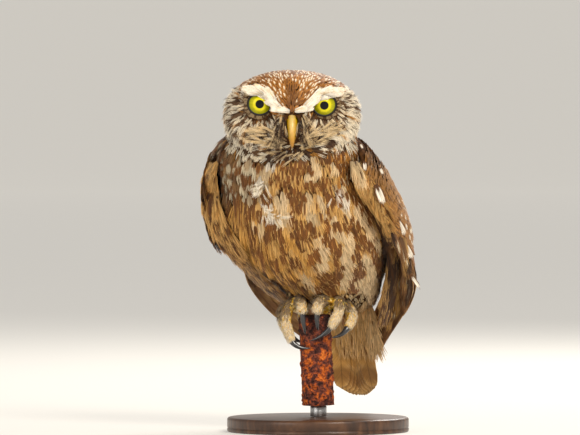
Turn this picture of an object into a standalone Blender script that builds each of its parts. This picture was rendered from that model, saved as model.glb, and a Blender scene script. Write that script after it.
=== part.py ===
"""A little owl gripping the end of a rusty rod, as a still, life-size display model.

Blender 4.5 script, metres, +Z up. Lengths below are millimetres until a mesh is made.
The bird looks towards -Y. Its body is turned a little to its own right and leans forward, and its head faces -Y.
"""
import math
import random

import bpy
import bmesh
from mathutils import Matrix, Vector

# Units and the gap that neighbouring pieces keep, in millimetres

MM = 0.001
GAP = 0.3
SHELL_MOST = 1.7
WELD = 1e-6

# Stand and rod

BASE_RADIUS = 50.0
BASE_THICK = 8.0
BASE_CHAMFER = 1.5
STAND_ROD_RADIUS = 4.5
STAND_ROD_TOP = 14.0
PERCH_RADIUS = 9.1
PERCH_TOP = Vector((-2.0, 0.0, 64.1))
PERCH_FOOT = Vector((0.25, 0.0, STAND_ROD_TOP + GAP))
PERCH_EDGE = 0.9

# How the body and head stand

BODY_ORIGIN = Vector((-1.3, 0.0, 64.1))
BODY_YAW = math.radians(-20.0)
HEAD_CENTRE = Vector((-14.3, -29.3, 175.2))
HEAD_PITCH = math.radians(9.0)
HEAD_HALF_WIDTH = 38.2
HEAD_UP = 24.2
HEAD_DOWN = 26.0
HEAD_FRONT = 27.5
HEAD_BACK = 32.0
HEAD_SQUARENESS = {"up": 2.12, "down": 2.35}
HEAD_ROWS = 16
HEAD_SIDES = 32

# Eyes and bill, in the head's own frame: x to the bird's left, y backwards, z up

EYE_RADIUS = 8.5
EYE_CENTRE = Vector((17.4, -16.4, 8.4))
EYE_OUTWARD = math.radians(7.0)
EYE_ROWS = 10
EYE_SIDES = 16
LID_SIDES = 18
LID_THICK = 1.3
LID_SUNK = 0.4
LID_OPEN = math.radians(47.0)
LID_REACH = math.radians(84.0)
UPPER_LID_DROP = math.radians(13.0)
BILL_ROOT_HALF = 4.6
NOSTRIL = (4.3, -31.0, 0.6)
NOSTRIL_DEEP = 1.7
BILL_ROOT_Z = 5.4
BILL_LENGTH_DOWN = 19.0

# Torso: x, y, z of each section's centre in the body frame, its half width, half depth and lean from upright

TORSO_STATIONS = [
    (3.0, 43.0, 4.0, 11.0, 8.0, 42.0),
    (1.0, 34.0, 12.5, 25.0, 18.5, 42.0),
    (1.0, 21.0, 26.0, 33.0, 28.0, 42.0),
    (-1.5, 8.0, 39.5, 40.0, 35.0, 42.0),
    (-5.0, -5.0, 53.0, 45.0, 39.0, 41.0),
    (-7.0, -15.0, 67.0, 44.0, 37.5, 36.0),
    (-7.0, -22.0, 80.0, 41.0, 32.5, 28.0),
]
NECK_STATIONS = [
    (-7.0, -22.4, 80.6, 41.0, 32.2, 28.0),
    (-7.0, -27.0, 92.0, 41.0, 29.5, 20.0),
    (-4.5, -30.0, 103.0, 34.0, 25.0, 12.0),
]
BODY_SIDES = 26
TORSO_RINGS = 14
NECK_RINGS = 5

# Wings, as a sheet wrapped round the body. Each row: centre line x, y, z, lean, half width, half depth and
# the angles of the back edge and the belly edge, measured round from the side towards the back.

WING_STATIONS = [
    (-6.5, -26.0, 90.0, 22.0, 44.0, 34.0, 54.0, 2.0),
    (-7.0, -20.0, 78.5, 30.0, 51.5, 37.5, 62.0, -20.0),
    (-7.5, -14.0, 67.0, 36.0, 56.0, 42.0, 71.0, -26.0),
    (-6.5, -4.0, 53.0, 41.0, 58.0, 43.5, 76.0, -20.0),
    (-4.0, 9.0, 39.0, 42.0, 56.0, 40.5, 80.0, -13.0),
    (-1.5, 22.0, 26.0, 42.0, 51.5, 34.0, 82.0, -6.0),
    (0.0, 34.0, 12.0, 40.0, 45.0, 25.0, 82.0, 0.0),
    (1.0, 43.0, -2.0, 34.0, 35.0, 17.0, 80.0, 6.0),
    (2.0, 49.0, -17.0, 26.0, 23.5, 12.0, 77.0, 10.0),
    (3.0, 54.0, -32.0, 20.0, 15.0, 9.0, 72.0, 14.0),
]
WING_OPEN = {
    "left": [(0,), (0,), (0,), (0.5,), (0.5,), (1.2,), (3.5,), (3,), (2,), (1,)],
    "right": [(0.5,), (-1,), (-3,), (-4,), (-4,), (0.5,), (8.5,), (12,), (9,), (5,)],
}
WING_RAISED = {"left": 0.0, "right": 2.0}
WING_BELLY_RISE = {"left": 9.0, "right": 0.0}
CORE_END = 0.66
CORE_STEPS = 10
CORE_COLUMNS = 7

# Feather tiers of a wing: count, root and tip places on the sheet for the belly-most and back-most feather,
# width, lift of the outer face and thickness at root and tip

WING_TIERS = {
    "primary": dict(count=7, roots=((0.36, 0.93), (0.46, 0.66)), tips=((0.90, 0.86), (1.0, 0.22)),
                    width=11.5, lift=-3.7, thick=(2.2, 1.2), bow=0.035),
    "secondary": dict(count=7, roots=((0.34, 0.86), (0.30, 0.16)), tips=((0.80, 0.84), (0.67, 0.16)),
                      width=15.0, lift=-2.5, thick=(3.2, 1.2), bow=0.0),
    "greater_covert": dict(count=7, roots=((0.24, 0.94), (0.22, 0.16)), tips=((0.55, 0.94), (0.50, 0.14)),
                           width=14.5, lift=-1.6, thick=(2.6, 1.8), bow=0.0),
    "median_covert": dict(count=6, roots=((0.15, 0.94), (0.14, 0.14)), tips=((0.40, 0.95), (0.38, 0.12)),
                          width=16.5, lift=-0.8, thick=(2.4, 1.7), bow=0.0),
    "lesser_covert": dict(count=5, roots=((0.05, 0.92), (0.05, 0.14)), tips=((0.26, 0.94), (0.26, 0.12)),
                          width=17.0, lift=-0.1, thick=(2.2, 1.6), bow=0.0),
}
SCAPULAR_COUNT = 5
SCAPULAR_WIDTH = 12.0
SHINGLE_STEP = 0.55
LONG_VANE = (0.0, 0.25, 0.6, 0.86, 1.0)
SHORT_VANE = (0.0, 0.3, 0.84, 1.0)
UNEVEN_SEED = 5
UNEVEN = random.Random(UNEVEN_SEED)

# Tail, as a sheet from its root to its tip in the body frame

TAIL_ROOT = Vector((3.0, 41.0, 9.0))
TAIL_TIP = Vector((4.3, 61.0, -45.6))
TAIL_FEATHERS = 12
TAIL_FEATHER_WIDTH = 11.0
TAIL_HALF_ROOT = 4.0
TAIL_HALF_TIP = 8.2
TAIL_ROUNDING = 5.5
TAIL_STEP = 0.55
TAIL_THICK = 1.3
UNDERTAIL_COVERTS = 7
UPPERTAIL_COVERTS = 5

# Legs and feet. Toe and claw paths are in the rod's frame: origin at the centre of its top, z along it

LEG_STATIONS = {
    "right": [(-10.0, 6.0, 24.0, 8.0), (-9.5, 5.0, 16.0, 7.6), (-9.0, 3.0, 9.0, 6.4), (-9.0, 1.0, 3.0, 4.4)],
    "left": [(16.0, 6.0, 24.0, 9.0), (15.0, 3.0, 14.0, 9.0), (13.6, 0.0, 6.0, 7.4), (13.4, -2.0, -2.5, 4.2)],
}
TOE_SIDES = 8
TOE_STEPS = 5
CLAW_SIDES = 6
CLAW_STEPS = 5
TOES = {
    "right_hallux": dict(path=[(-8.5, 3, 7), (-8.5, 9.0, 6.0), (-6.8, 13.2, 1.5), (-5.5, 12.9, -5.0)],
                         claw=[(-5.2, 12.5, -6.6), (-4.0, 13.0, -11.5), (-3.0, 10.9, -15.5)]),
    "right_inner": dict(path=[(-8.0, -1, 7), (-7.8, -7.5, 7.0), (-6.9, -12.4, 5.4), (-6.6, -13.4, 2.4)],
                        claw=[(-6.5, -13.5, 0.9), (-6.4, -14.6, -5.2), (-5.2, -11.8, -10.2)]),
    "right_middle": dict(path=[(-9.5, -1, 6.5), (-14.2, -4.2, 4.6), (-15.6, -8.2, -3.4), (-13.2, -11.4, -13.0)],
                         claw=[(-12.4, -12.0, -14.4), (-9.4, -13.4, -18.4), (-2.6, -12.0, -17.6)]),
    "right_outer": dict(path=[(-9.5, 3, 6.5), (-15.5, 5.2, 4.2), (-17.4, 8.2, -2.6), (-14.4, 11.0, -9.4)],
                        claw=[(-13.6, 11.6, -10.8), (-11.2, 13.0, -14.6), (-6.4, 11.6, -15.4)]),
    "left_hallux": dict(path=[(9.0, 3, 7), (8.8, 9.0, 6.0), (6.4, 13.2, 1.5), (4.8, 12.9, -4.6)],
                        claw=[(4.5, 12.5, -6.2), (3.6, 13.0, -11.0), (2.4, 10.9, -14.6)]),
    "left_inner": dict(path=[(8.0, -1, 7.5), (4.8, -7.5, 7.8), (2.2, -12.6, 5.4), (1.5, -13.4, 2.0)],
                       claw=[(1.4, -13.4, 0.5), (1.1, -14.6, -4.6), (1.6, -11.9, -8.6)]),
    "left_middle": dict(path=[(10.0, -1, 7), (13.8, -7.0, 6.2), (13.0, -12.8, 1.0), (9.2, -14.4, -6.0)],
                        claw=[(8.0, -14.6, -7.4), (3.6, -15.2, -12.2), (-3.0, -13.2, -13.6)]),
    "left_outer": dict(path=[(10.5, 1, 6.5), (17.2, -2.0, 4.2), (20.6, -7.0, -1.0), (18.2, -11.6, -7.0)],
                       claw=[(17.3, -12.6, -8.2), (14.8, -15.0, -12.0), (9.0, -13.6, -12.4)]),
}
TOE_RADII = [3.7, 3.3, 2.9, 2.4]
CLAW_RADIUS = 1.5

# Colours as linear RGB with roughness and metallic

FINISHES = {
    "plumage_brown": ((0.19, 0.085, 0.028), 0.85, 0.0),
    "plumage_buff": ((0.47, 0.31, 0.13), 0.85, 0.0),
    "plumage_face": ((0.42, 0.31, 0.19), 0.85, 0.0),
    "iris_yellow": ((0.75, 0.72, 0.02), 0.08, 0.0),
    "bill_horn": ((0.72, 0.50, 0.05), 0.35, 0.0),
    "claw_horn": ((0.03, 0.03, 0.035), 0.3, 0.0),
    "rusty_iron": ((0.22, 0.06, 0.02), 0.9, 0.3),
    "stand_wood": ((0.05, 0.03, 0.02), 0.45, 0.0),
    "stand_steel": ((0.5, 0.5, 0.52), 0.3, 1.0),
}


# Scene and materials


def clear_scene():
    """Removes whatever the scene starts with."""
    for thing in list(bpy.data.objects):
        bpy.data.objects.remove(thing)


def finish_of(name):
    """The Principled material of that finish, made once."""
    if name in bpy.data.materials:
        return bpy.data.materials[name]
    colour, roughness, metallic = FINISHES[name]
    made = bpy.data.materials.new(name)
    made.use_nodes = True
    shader = made.node_tree.nodes["Principled BSDF"]
    shader.inputs["Base Color"].default_value = (*colour, 1.0)
    shader.inputs["Roughness"].default_value = roughness
    shader.inputs["Metallic"].default_value = metallic
    made.diffuse_color = (*colour, 1.0)
    return made


def add_object(name, points, faces, finish):
    """A mesh object from points in millimetres, its normals pointing out."""
    mesh = bpy.data.meshes.new(name)
    mesh.from_pydata([tuple(Vector(p) * MM) for p in points], [], faces)
    mesh.materials.append(finish_of(finish))
    skin = bmesh.new()
    skin.from_mesh(mesh)
    bmesh.ops.recalc_face_normals(skin, faces=skin.faces[:])
    skin.to_mesh(mesh)
    skin.free()
    thing = bpy.data.objects.new(name, mesh)
    bpy.context.scene.collection.objects.link(thing)
    return thing


# Frames


def body_point(x, y, z):
    """A point of the body frame, whose origin is at the rod's top, as a world point."""
    return BODY_ORIGIN + Matrix.Rotation(BODY_YAW, 3, "Z") @ Vector((x, y, z))


def head_point(x, y, z):
    """A point of the head frame as a world point."""
    return HEAD_CENTRE + Matrix.Rotation(HEAD_PITCH, 3, "X") @ Vector((x, y, z))


def rod_point(x, y, z):
    """A point of the rod's frame as a world point, allowing for the rod's slight lean."""
    up = (PERCH_TOP - PERCH_FOOT).normalized()
    return PERCH_TOP + up.to_track_quat("Z", "Y").to_matrix() @ Matrix.Rotation(ROD_TURN, 3, "Z") @ Vector((x, y, z))


def rod_turn():
    """The turn that brings the tracked rod frame's x back to world x."""
    up = (PERCH_TOP - PERCH_FOOT).normalized()
    side = up.to_track_quat("Z", "Y").to_matrix() @ Vector((1, 0, 0))
    return -math.atan2(side.y, side.x)


ROD_TURN = rod_turn()


# Smooth interpolation through rows of numbers


def along(rows, place):
    """The Catmull-Rom value of a list of rows at place, from 0 at the first row to 1 at the last."""
    last = len(rows) - 1
    at = min(max(place, 0.0), 1.0) * last
    low = min(int(at), last - 1)
    part = at - low
    before, start, end, after = (rows[min(max(low + step, 0), last)] for step in (-1, 0, 1, 2))
    return [
        0.5 * (2 * b + (c - a) * part + (2 * a - 5 * b + 4 * c - d) * part**2 + (3 * b - a - 3 * c + d) * part**3)
        for a, b, c, d in zip(before, start, end, after)
    ]


# Mesh builders


def loft(rings):
    """Points and triangles of a closed skin over rings of equal length, each end fanned to its middle."""
    sides = len(rings[0])
    points = [p for ring in rings for p in ring]
    faces = []
    for row in range(len(rings) - 1):
        for i in range(sides):
            j = (i + 1) % sides
            a, b = row * sides + i, row * sides + j
            c, d = a + sides, b + sides
            faces += [(a, b, d), (a, d, c)]
    for row, turn in ((0, -1), (len(rings) - 1, 1)):
        centre = len(points)
        points.append(sum((Vector(p) for p in rings[row]), Vector()) / sides)
        for i in range(sides):
            j = (i + 1) % sides
            faces.append((row * sides + i, row * sides + j, centre)[::turn])
    return points, faces


def body_ring(row, sides=BODY_SIDES):
    """One section of the body across its leaning axis, fuller on the breast than on the back."""
    x, y, z, half_width, half_depth, lean = row
    lean = math.radians(lean)
    back = Vector((0, math.cos(lean), math.sin(lean)))
    ring = []
    for i in range(sides):
        turn = 2 * math.pi * i / sides
        depth = math.sin(turn)
        fullness = 0.95 if depth < 0 else 1.0
        depth = math.copysign(abs(depth) ** fullness, depth)
        local = Vector((x + half_width * math.cos(turn), y, z)) + back * half_depth * depth
        ring.append(body_point(*local))
    return ring


def tube(centres, radii, sides, flat=1.0):
    """Points and triangles of a tube through centres, its frame carried along without twist."""
    rings = []
    across = None
    for i, centre in enumerate(centres):
        ahead = centres[min(i + 1, len(centres) - 1)] - centres[max(i - 1, 0)]
        ahead.normalize()
        if across is None:
            across = ahead.orthogonal()
        across = (across - ahead * across.dot(ahead)).normalized()
        up = ahead.cross(across)
        rings.append([
            centre
            + across * radii[i] * math.cos(2 * math.pi * k / sides)
            + up * radii[i] * flat * math.sin(2 * math.pi * k / sides)
            for k in range(sides)
        ])
    return loft(rings)


def vane(sheet, root, tip, width, lift, thick, tilt, bow=0.0, steps=SHORT_VANE):
    """A feather vane lying on a sheet: four corners a section, sunk at its root, with a rounded tip.

    sheet(u, v, lift) gives a world point and sheet.arc(u) the sheet's width there in millimetres."""
    shape = [(0.0, 0.5), (0.25, 0.9), (0.6, 1.0), (0.86, 0.82), (1.0, 0.28)]
    width *= UNEVEN.uniform(0.97, 1.03)
    lift += UNEVEN.uniform(-0.06, 0.06)
    rings = []
    for step in steps:
        half_share = next(
            low[1] + (high[1] - low[1]) * (step - low[0]) / (high[0] - low[0])
            for low, high in zip(shape, shape[1:])
            if step <= high[0]
        )
        u = root[0] + (tip[0] - root[0]) * step
        v = root[1] + (tip[1] - root[1]) * step + bow * math.sin(math.pi * step)
        half = min(0.5, 0.5 * width * half_share / sheet.arc(u))
        v = min(max(v, half), 1.06 - half)
        top = lift - 1.6 * (1 - min(1.0, step / 0.3))
        depth = thick[0] + (thick[1] - thick[0]) * step
        rings.append([
            sheet(u, v - half, top - tilt),
            sheet(u, v + half, top + tilt),
            sheet(u, v + half, top + tilt - depth),
            sheet(u, v - half, top - tilt - depth),
        ])
    points = [p for ring in rings for p in ring]
    faces = [(0, 1, 2), (0, 2, 3)]
    for row in range(len(rings) - 1):
        for i in range(4):
            j = (i + 1) % 4
            a, b = row * 4 + i, row * 4 + j
            c, d = a + 4, b + 4
            faces += [(a, b, d), (a, d, c)] if i != 2 else [(a, b, c), (b, d, c)]
    end = 4 * (len(rings) - 1)
    faces += [(end + 1, end, end + 3), (end + 1, end + 3, end + 2)]
    return points, faces


# Joining and cutting


def evaluated(thing):
    """Bakes an object's modifiers into its mesh."""
    graph = bpy.context.evaluated_depsgraph_get()
    baked = bpy.data.meshes.new_from_object(thing.evaluated_get(graph))
    thing.modifiers.clear()
    thing.data = baked
    return thing


def fuse(pieces, name, finish):
    """One closed body from overlapping closed pieces, given as (points, faces)."""
    made = [add_object(f"{name}_piece{i}", points, faces, finish) for i, (points, faces) in enumerate(pieces)]
    whole = made[0]
    whole.name = name
    if len(made) > 1:
        others = bpy.data.collections.new(f"{name}_pieces")
        for thing in made[1:]:
            others.objects.link(thing)
        join = whole.modifiers.new("join", "BOOLEAN")
        join.operation = "UNION"
        join.operand_type = "COLLECTION"
        join.collection = others
        join.solver = "EXACT"
        evaluated(whole)
        for thing in made[1:]:
            bpy.data.objects.remove(thing)
        bpy.data.collections.remove(others)
    return keep_largest(whole)


def swollen(piece, by=GAP):
    """A closed piece, given as (points, faces), with its surface moved out by that much."""
    points, faces = piece
    skin = bmesh.new()
    corners = [skin.verts.new(p) for p in points]
    for face in faces:
        skin.faces.new([corners[i] for i in face])
    bmesh.ops.recalc_face_normals(skin, faces=skin.faces[:])
    skin.normal_update()
    moved = [c.co + c.normal * min(c.calc_shell_factor(), SHELL_MOST) * by for c in corners]
    skin.free()
    return moved, faces


def clearance(name, pieces):
    """A hidden cutter: the pieces of a neighbour, each a gap larger, as one body."""
    cutter = fuse([swollen(piece) for piece in pieces], f"{name}_clear", "plumage_buff")
    cutter.hide_render = True
    cutter.display_type = "WIRE"
    return cutter


def cut(thing, cutters):
    """Cuts each cutter away from an object."""
    for cutter in cutters:
        carve = thing.modifiers.new("carve", "BOOLEAN")
        carve.operation = "DIFFERENCE"
        carve.object = cutter
        carve.solver = "EXACT"
        evaluated(thing)
    return keep_largest(thing)


def keep_largest(thing):
    """Keeps only the largest closed surface of an object."""
    skin = bmesh.new()
    skin.from_mesh(thing.data)
    bmesh.ops.remove_doubles(skin, verts=skin.verts[:], dist=WELD)
    left = set(skin.verts)
    groups = []
    while left:
        group = {left.pop()}
        edge = list(group)
        while edge:
            corner = edge.pop()
            for link in corner.link_edges:
                other = link.other_vert(corner)
                if other in left:
                    left.remove(other)
                    group.add(other)
                    edge.append(other)
        groups.append(group)

    def spread(group):
        return sum(face.calc_area() for face in {f for corner in group for f in corner.link_faces})

    groups.sort(key=spread)
    for group in groups[:-1]:
        bmesh.ops.delete(skin, geom=list(group), context="VERTS")
    skin.to_mesh(thing.data)
    skin.free()
    return thing


# Stand and rod


def turned(name, profile, finish, sides, lean=None):
    """A turned piece from a profile of (radius, height), upright or along the rod."""
    rings = []
    for radius, height in profile:
        ring = []
        for k in range(sides):
            turn = 2 * math.pi * k / sides
            local = Vector((radius * math.cos(turn), radius * math.sin(turn), height))
            ring.append(lean(*local) if lean else local)
        rings.append(ring)
    return add_object(name, *loft(rings), finish)


def make_stand():
    """The flat base and the short rod under the perch."""
    edge = BASE_CHAMFER
    profile = [
        (BASE_RADIUS, 0.0),
        (BASE_RADIUS, BASE_THICK - edge),
        (BASE_RADIUS - edge, BASE_THICK),
    ]
    turned("stand_base", profile, "stand_wood", 44)
    rod = [(STAND_ROD_RADIUS, BASE_THICK + GAP), (STAND_ROD_RADIUS, STAND_ROD_TOP)]
    shaft = turned("stand_rod", rod, "stand_steel", 18)
    shaft.location.x = PERCH_FOOT.x * MM


def make_perch():
    """The cut length of rusty rod, square at the top and level where it stands on the stand's rod."""
    length = (PERCH_TOP - PERCH_FOOT).length
    profile = [
        (PERCH_RADIUS, -length - 2.0),
        (PERCH_RADIUS, -PERCH_EDGE),
        (PERCH_RADIUS - PERCH_EDGE, 0.0),
    ]
    perch = turned("perch_rod", profile, "rusty_iron", 26, rod_point)
    floor = [(30.0, PERCH_FOOT.z - 20.0), (30.0, PERCH_FOOT.z)]
    slab = turned("perch_trim", floor, "rusty_iron", 8)
    cut(perch, [slab])
    bpy.data.objects.remove(slab)


# Torso and neck


def torso_shape():
    return loft([body_ring(along(TORSO_STATIONS, i / TORSO_RINGS)) for i in range(TORSO_RINGS + 1)])


def neck_shape():
    return loft([body_ring(along(NECK_STATIONS, i / NECK_RINGS)) for i in range(NECK_RINGS + 1)])


# Head


def bump(x, z, at, spread):
    """A soft round bump of height 1 at a place on the face."""
    return math.exp(-((x - at[0]) ** 2 + (z - at[1]) ** 2) / (2 * spread**2))


def brow_height(x, z):
    """Height of the brow ridge, which runs from the bill up and out over each eye."""
    x = abs(x)
    line = -12.5 + 2.9 * x - 0.0733 * x * x if x < 19.8 else 16.2
    fade = math.exp(-max(0.0, x - 25.0) ** 2 / 30.0) * math.exp(-max(0.0, 6.0 - x) ** 2 / 8.0)
    return math.exp(-((z - line) ** 2) / 9.0) * fade


def head_surface(turn, swing):
    """A point on the head for an angle from straight ahead and an angle round the face."""
    direction = Vector((math.sin(turn) * math.cos(swing), -math.cos(turn), math.sin(turn) * math.sin(swing)))
    depth = HEAD_FRONT if direction.y < 0 else HEAD_BACK
    height = HEAD_UP if direction.z > 0 else HEAD_DOWN
    square = HEAD_SQUARENESS["up" if direction.z > 0 else "down"]
    reach = (
        abs(direction.x / HEAD_HALF_WIDTH) ** square
        + abs(direction.y / depth) ** square
        + abs(direction.z / height) ** square
    ) ** (-1 / square)
    point = direction * reach
    if direction.y < 0.25:
        x, z = point.x, point.z
        facing = min(1.0, max(0.0, (0.25 - direction.y) / 0.6))
        hollow = 2.6 * bump(abs(x), z, (17.5, 5.0), 7.5)
        muzzle = 4.4 * bump(x, z, (0.0, -1.0), 6.0) + 2.0 * bump(x, z, (0.0, -10.0), 9.0)
        rim = 1.1 * math.exp(-((math.hypot(x / 31.0, z / 20.0) - 1.0) ** 2) / 0.02)
        point.y += facing * (hollow - muzzle - 2.8 * brow_height(x, z) - rim)
    return point


def eye_frame(side):
    """The eye's centre and turn in the head's frame: its axis points a little outwards and straight ahead."""
    centre = Vector((side * EYE_CENTRE.x, EYE_CENTRE.y, EYE_CENTRE.z))
    return centre, Matrix.Rotation(side * EYE_OUTWARD, 3, "Z")


def eye_point(side, turn, swing, radius):
    """A point on a sphere about the eye, for an angle from its axis and an angle round it."""
    centre, frame = eye_frame(side)
    local = Vector((math.sin(turn) * math.cos(swing), -math.cos(turn), math.sin(turn) * math.sin(swing)))
    return head_point(*(centre + frame @ (local * radius)))


def lid_ring(side):
    """The lids as one ring round the eye, lower over its top so that the bird frowns."""
    rings = []
    count = LID_SIDES
    inner = EYE_RADIUS - LID_SUNK
    outer = EYE_RADIUS + GAP + LID_THICK
    for k in range(count):
        swing = 2 * math.pi * k / count
        opening = LID_OPEN - UPPER_LID_DROP * max(0.0, math.sin(swing + side * 0.5)) ** 1.5
        rings.append([
            eye_point(side, opening, swing, inner),
            eye_point(side, opening + 0.03, swing, outer),
            eye_point(side, LID_REACH, swing, outer + 0.4),
            eye_point(side, LID_REACH, swing, inner),
        ])
    points = [p for ring in rings for p in ring]
    faces = []
    for row in range(count):
        for i in range(4):
            j = (i + 1) % 4
            a, b = row * 4 + i, row * 4 + j
            c, d = ((row + 1) % count) * 4 + i, ((row + 1) % count) * 4 + j
            faces += [(a, b, d), (a, d, c)]
    return points, faces


def eye_shape(side):
    rings = []
    for row in range(1, EYE_ROWS):
        turn = math.pi * row / EYE_ROWS
        rings.append([eye_point(side, turn, 2 * math.pi * k / EYE_SIDES, EYE_RADIUS) for k in range(EYE_SIDES)])
    points, faces = loft(rings)
    points[-2] = eye_point(side, 0.0, 0.0, EYE_RADIUS)
    points[-1] = eye_point(side, math.pi, 0.0, EYE_RADIUS)
    return points, faces


def upper_bill():
    """The hooked upper bill: sections along its arched ridge, its nostrils sunk beside the root."""
    rings = []
    count = 11
    for i in range(count):
        t = i / (count - 1)
        ridge_y = -24.0 - 12.4 * math.sin(min(1.0, t * 1.2) * math.pi * 0.5) + 1.6 * t**4
        ridge_z = BILL_ROOT_Z - 1.6 * t - (BILL_LENGTH_DOWN - 1.6) * t**2.1
        half = BILL_ROOT_HALF * (1 - t) ** 0.62 * (1 - 0.18 * math.sin(math.pi * t)) + 0.35
        depth = 10.5 * (1 - t) ** 0.65 + 0.8
        slope = math.atan2(14.0 * math.cos(min(1.0, t * 1.15) * math.pi * 0.5), 4.0 + 26.0 * t)
        back = Vector((0, math.cos(slope - math.pi / 2 + 0.25) * 0.5 + 0.5, -math.sin(slope) * 0.85)).normalized()
        ring = []
        for x, d in ((0, 0), (0.55, 0.10), (0.95, 0.42), (1.0, 0.8), (0.8, 1.0), (0, 0.94), (-0.8, 1.0),
                     (-1.0, 0.8), (-0.95, 0.42), (-0.55, 0.10)):
            ring.append(head_point(x * half, ridge_y + back.y * depth * d, ridge_z + back.z * depth * d))
        rings.append(ring)
    return loft(rings)


def make_upper_bill():
    bill = add_object("bill_upper", *upper_bill(), "bill_horn")
    for side in (-1, 1):
        mouth = head_point(side * NOSTRIL[0], NOSTRIL[1], NOSTRIL[2])
        floor = head_point(side * (NOSTRIL[0] - NOSTRIL_DEEP), NOSTRIL[1] + 0.4, NOSTRIL[2] - 0.2)
        pit = add_object("nostril", *tube([mouth, floor], [0.8, 0.6], 8), "bill_horn")
        cut(bill, [pit])
        bpy.data.objects.remove(pit)
    return bill


def lower_bill():
    """The lower bill, tucked behind the hook, with the line of the mouth as the gap between the two."""
    rings = []
    for i in range(6):
        t = i / 5
        y = -24.0 - 8.2 * t
        z = BILL_ROOT_Z - 10.4 - 5.2 * t
        half = 3.6 * (1 - t) ** 0.6 + 0.5
        depth = 3.4 - 2.0 * t
        rings.append([
            head_point(x * half, y + depth * d * 0.5, z - depth * d)
            for x, d in ((-1, 0), (0, -0.12), (1, 0), (0.8, 0.75), (0, 1.0), (-0.8, 0.75))
        ])
    return loft(rings)


def skull():
    """The round head with its face, before the lids are added."""
    rings = []
    for row in range(1, HEAD_ROWS):
        turn = math.pi * (row / HEAD_ROWS) ** 1.12
        rings.append([head_point(*head_surface(turn, 2 * math.pi * k / HEAD_SIDES)) for k in range(HEAD_SIDES)])
    points, faces = loft(rings)
    points[-2] = head_point(*head_surface(0.0, 0.0))
    points[-1] = head_point(*head_surface(math.pi, 0.0))
    return points, faces


# Wings


class WingSheet:
    """The curved sheet that a folded wing's feathers lie on. u runs from shoulder to tip, v from back to belly."""

    def __init__(self, name):
        self.side = 1 if name == "left" else -1
        self.opened = WING_OPEN[name]
        self.raised = WING_RAISED[name]
        self.rise = WING_BELLY_RISE[name]

    def __call__(self, u, v, lift):
        x, y, z, lean, width, depth, back_edge, belly_edge = along(WING_STATIONS, u)
        belly_edge += self.rise * math.sin(math.pi * min(1.0, u / 0.7))
        turn = math.radians(back_edge + (belly_edge - back_edge) * v)
        lean = math.radians(lean)
        back = Vector((0, math.cos(lean), math.sin(lean)))
        out = along(self.opened, u)[0]
        centre = Vector((x + self.side * out, y, z + self.raised * u * u))
        side = Vector((self.side, 0, 0))
        point = centre + side * (width + lift) * math.cos(turn) + back * (depth + lift) * math.sin(turn)
        return body_point(*point)

    def arc(self, u):
        x, y, z, lean, width, depth, back_edge, belly_edge = along(WING_STATIONS, u)
        turns = [math.radians(back_edge + (belly_edge - back_edge) * k / 6) for k in range(7)]
        corners = [(width * math.cos(a), depth * math.sin(a)) for a in turns]
        return sum(math.dist(a, b) for a, b in zip(corners, corners[1:]))


def core_lift(u):
    """How far under the sheet the wing's fleshy core lies, deeper under the lower tiers."""
    return along([(-1.5,), (-1.9,), (-2.6,), (-3.6,), (-4.4,)], u / CORE_END)[0]


def wing_core(sheet):
    """A lens-shaped shell under the coverts, thick at the shoulder and thin at its trailing edge."""
    outer, inner = [], []
    for i in range(CORE_STEPS + 1):
        u = CORE_END * i / CORE_STEPS
        for j in range(CORE_COLUMNS + 1):
            v = 0.02 + 0.97 * j / CORE_COLUMNS
            bulge = math.sin(math.pi * (0.08 + 0.84 * v))
            top = core_lift(u) - 0.8 * (1 - bulge)
            thick = 0.9 + bulge * along([(5.0,), (7.0,), (6.5,), (4.0,), (2.0,)], u / CORE_END)[0]
            outer.append(sheet(u, v, top))
            inner.append(sheet(u, v, top - thick))
    points = outer + inner
    columns = CORE_COLUMNS + 1
    base = len(outer)
    faces = []
    for i in range(CORE_STEPS):
        for j in range(CORE_COLUMNS):
            a, b, c, d = i * columns + j, i * columns + j + 1, (i + 1) * columns + j, (i + 1) * columns + j + 1
            faces += [(a, b, d), (a, d, c), (base + a, base + d, base + b), (base + a, base + c, base + d)]
    rim = [j for j in range(columns)]
    rim += [i * columns + CORE_COLUMNS for i in range(1, CORE_STEPS + 1)]
    rim += [CORE_STEPS * columns + j for j in range(CORE_COLUMNS - 1, -1, -1)]
    rim += [i * columns for i in range(CORE_STEPS - 1, 0, -1)]
    for a, b in zip(rim, rim[1:] + rim[:1]):
        faces += [(a, base + a, base + b), (a, base + b, b)]
    return points, faces


def wing_vanes(sheet):
    """Every tier of the wing, from the primaries out to the lesser coverts, and the scapulars over them."""
    vanes = []
    for name, tier in WING_TIERS.items():
        count = tier["count"]
        for i in range(count):
            t = i / (count - 1)
            root = [a + (b - a) * t for a, b in zip(*tier["roots"])]
            tip = [a + (b - a) * t for a, b in zip(*tier["tips"])]
            if tier["bow"]:
                tip[0] -= 0.07 * t * t
            stagger = SHINGLE_STEP * (t - 0.5) * 0.6
            steps = LONG_VANE if name in ("primary", "secondary") else SHORT_VANE
            vanes.append(vane(sheet, root, tip, tier["width"], tier["lift"] + stagger, tier["thick"], 0.42,
                              tier["bow"], steps))
    for i in range(SCAPULAR_COUNT):
        root = (0.06 + 0.07 * i, 0.16)
        tip = (0.28 + 0.08 * i, 0.06)
        vanes.append(vane(sheet, root, tip, SCAPULAR_WIDTH, 0.1 - 0.25 * i, (2.6, 1.5), 0.3))
    return vanes


def wing_pieces(name):
    sheet = WingSheet(name)
    UNEVEN.seed(UNEVEN_SEED)
    return [wing_core(sheet), *wing_vanes(sheet)]


# Tail


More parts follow.
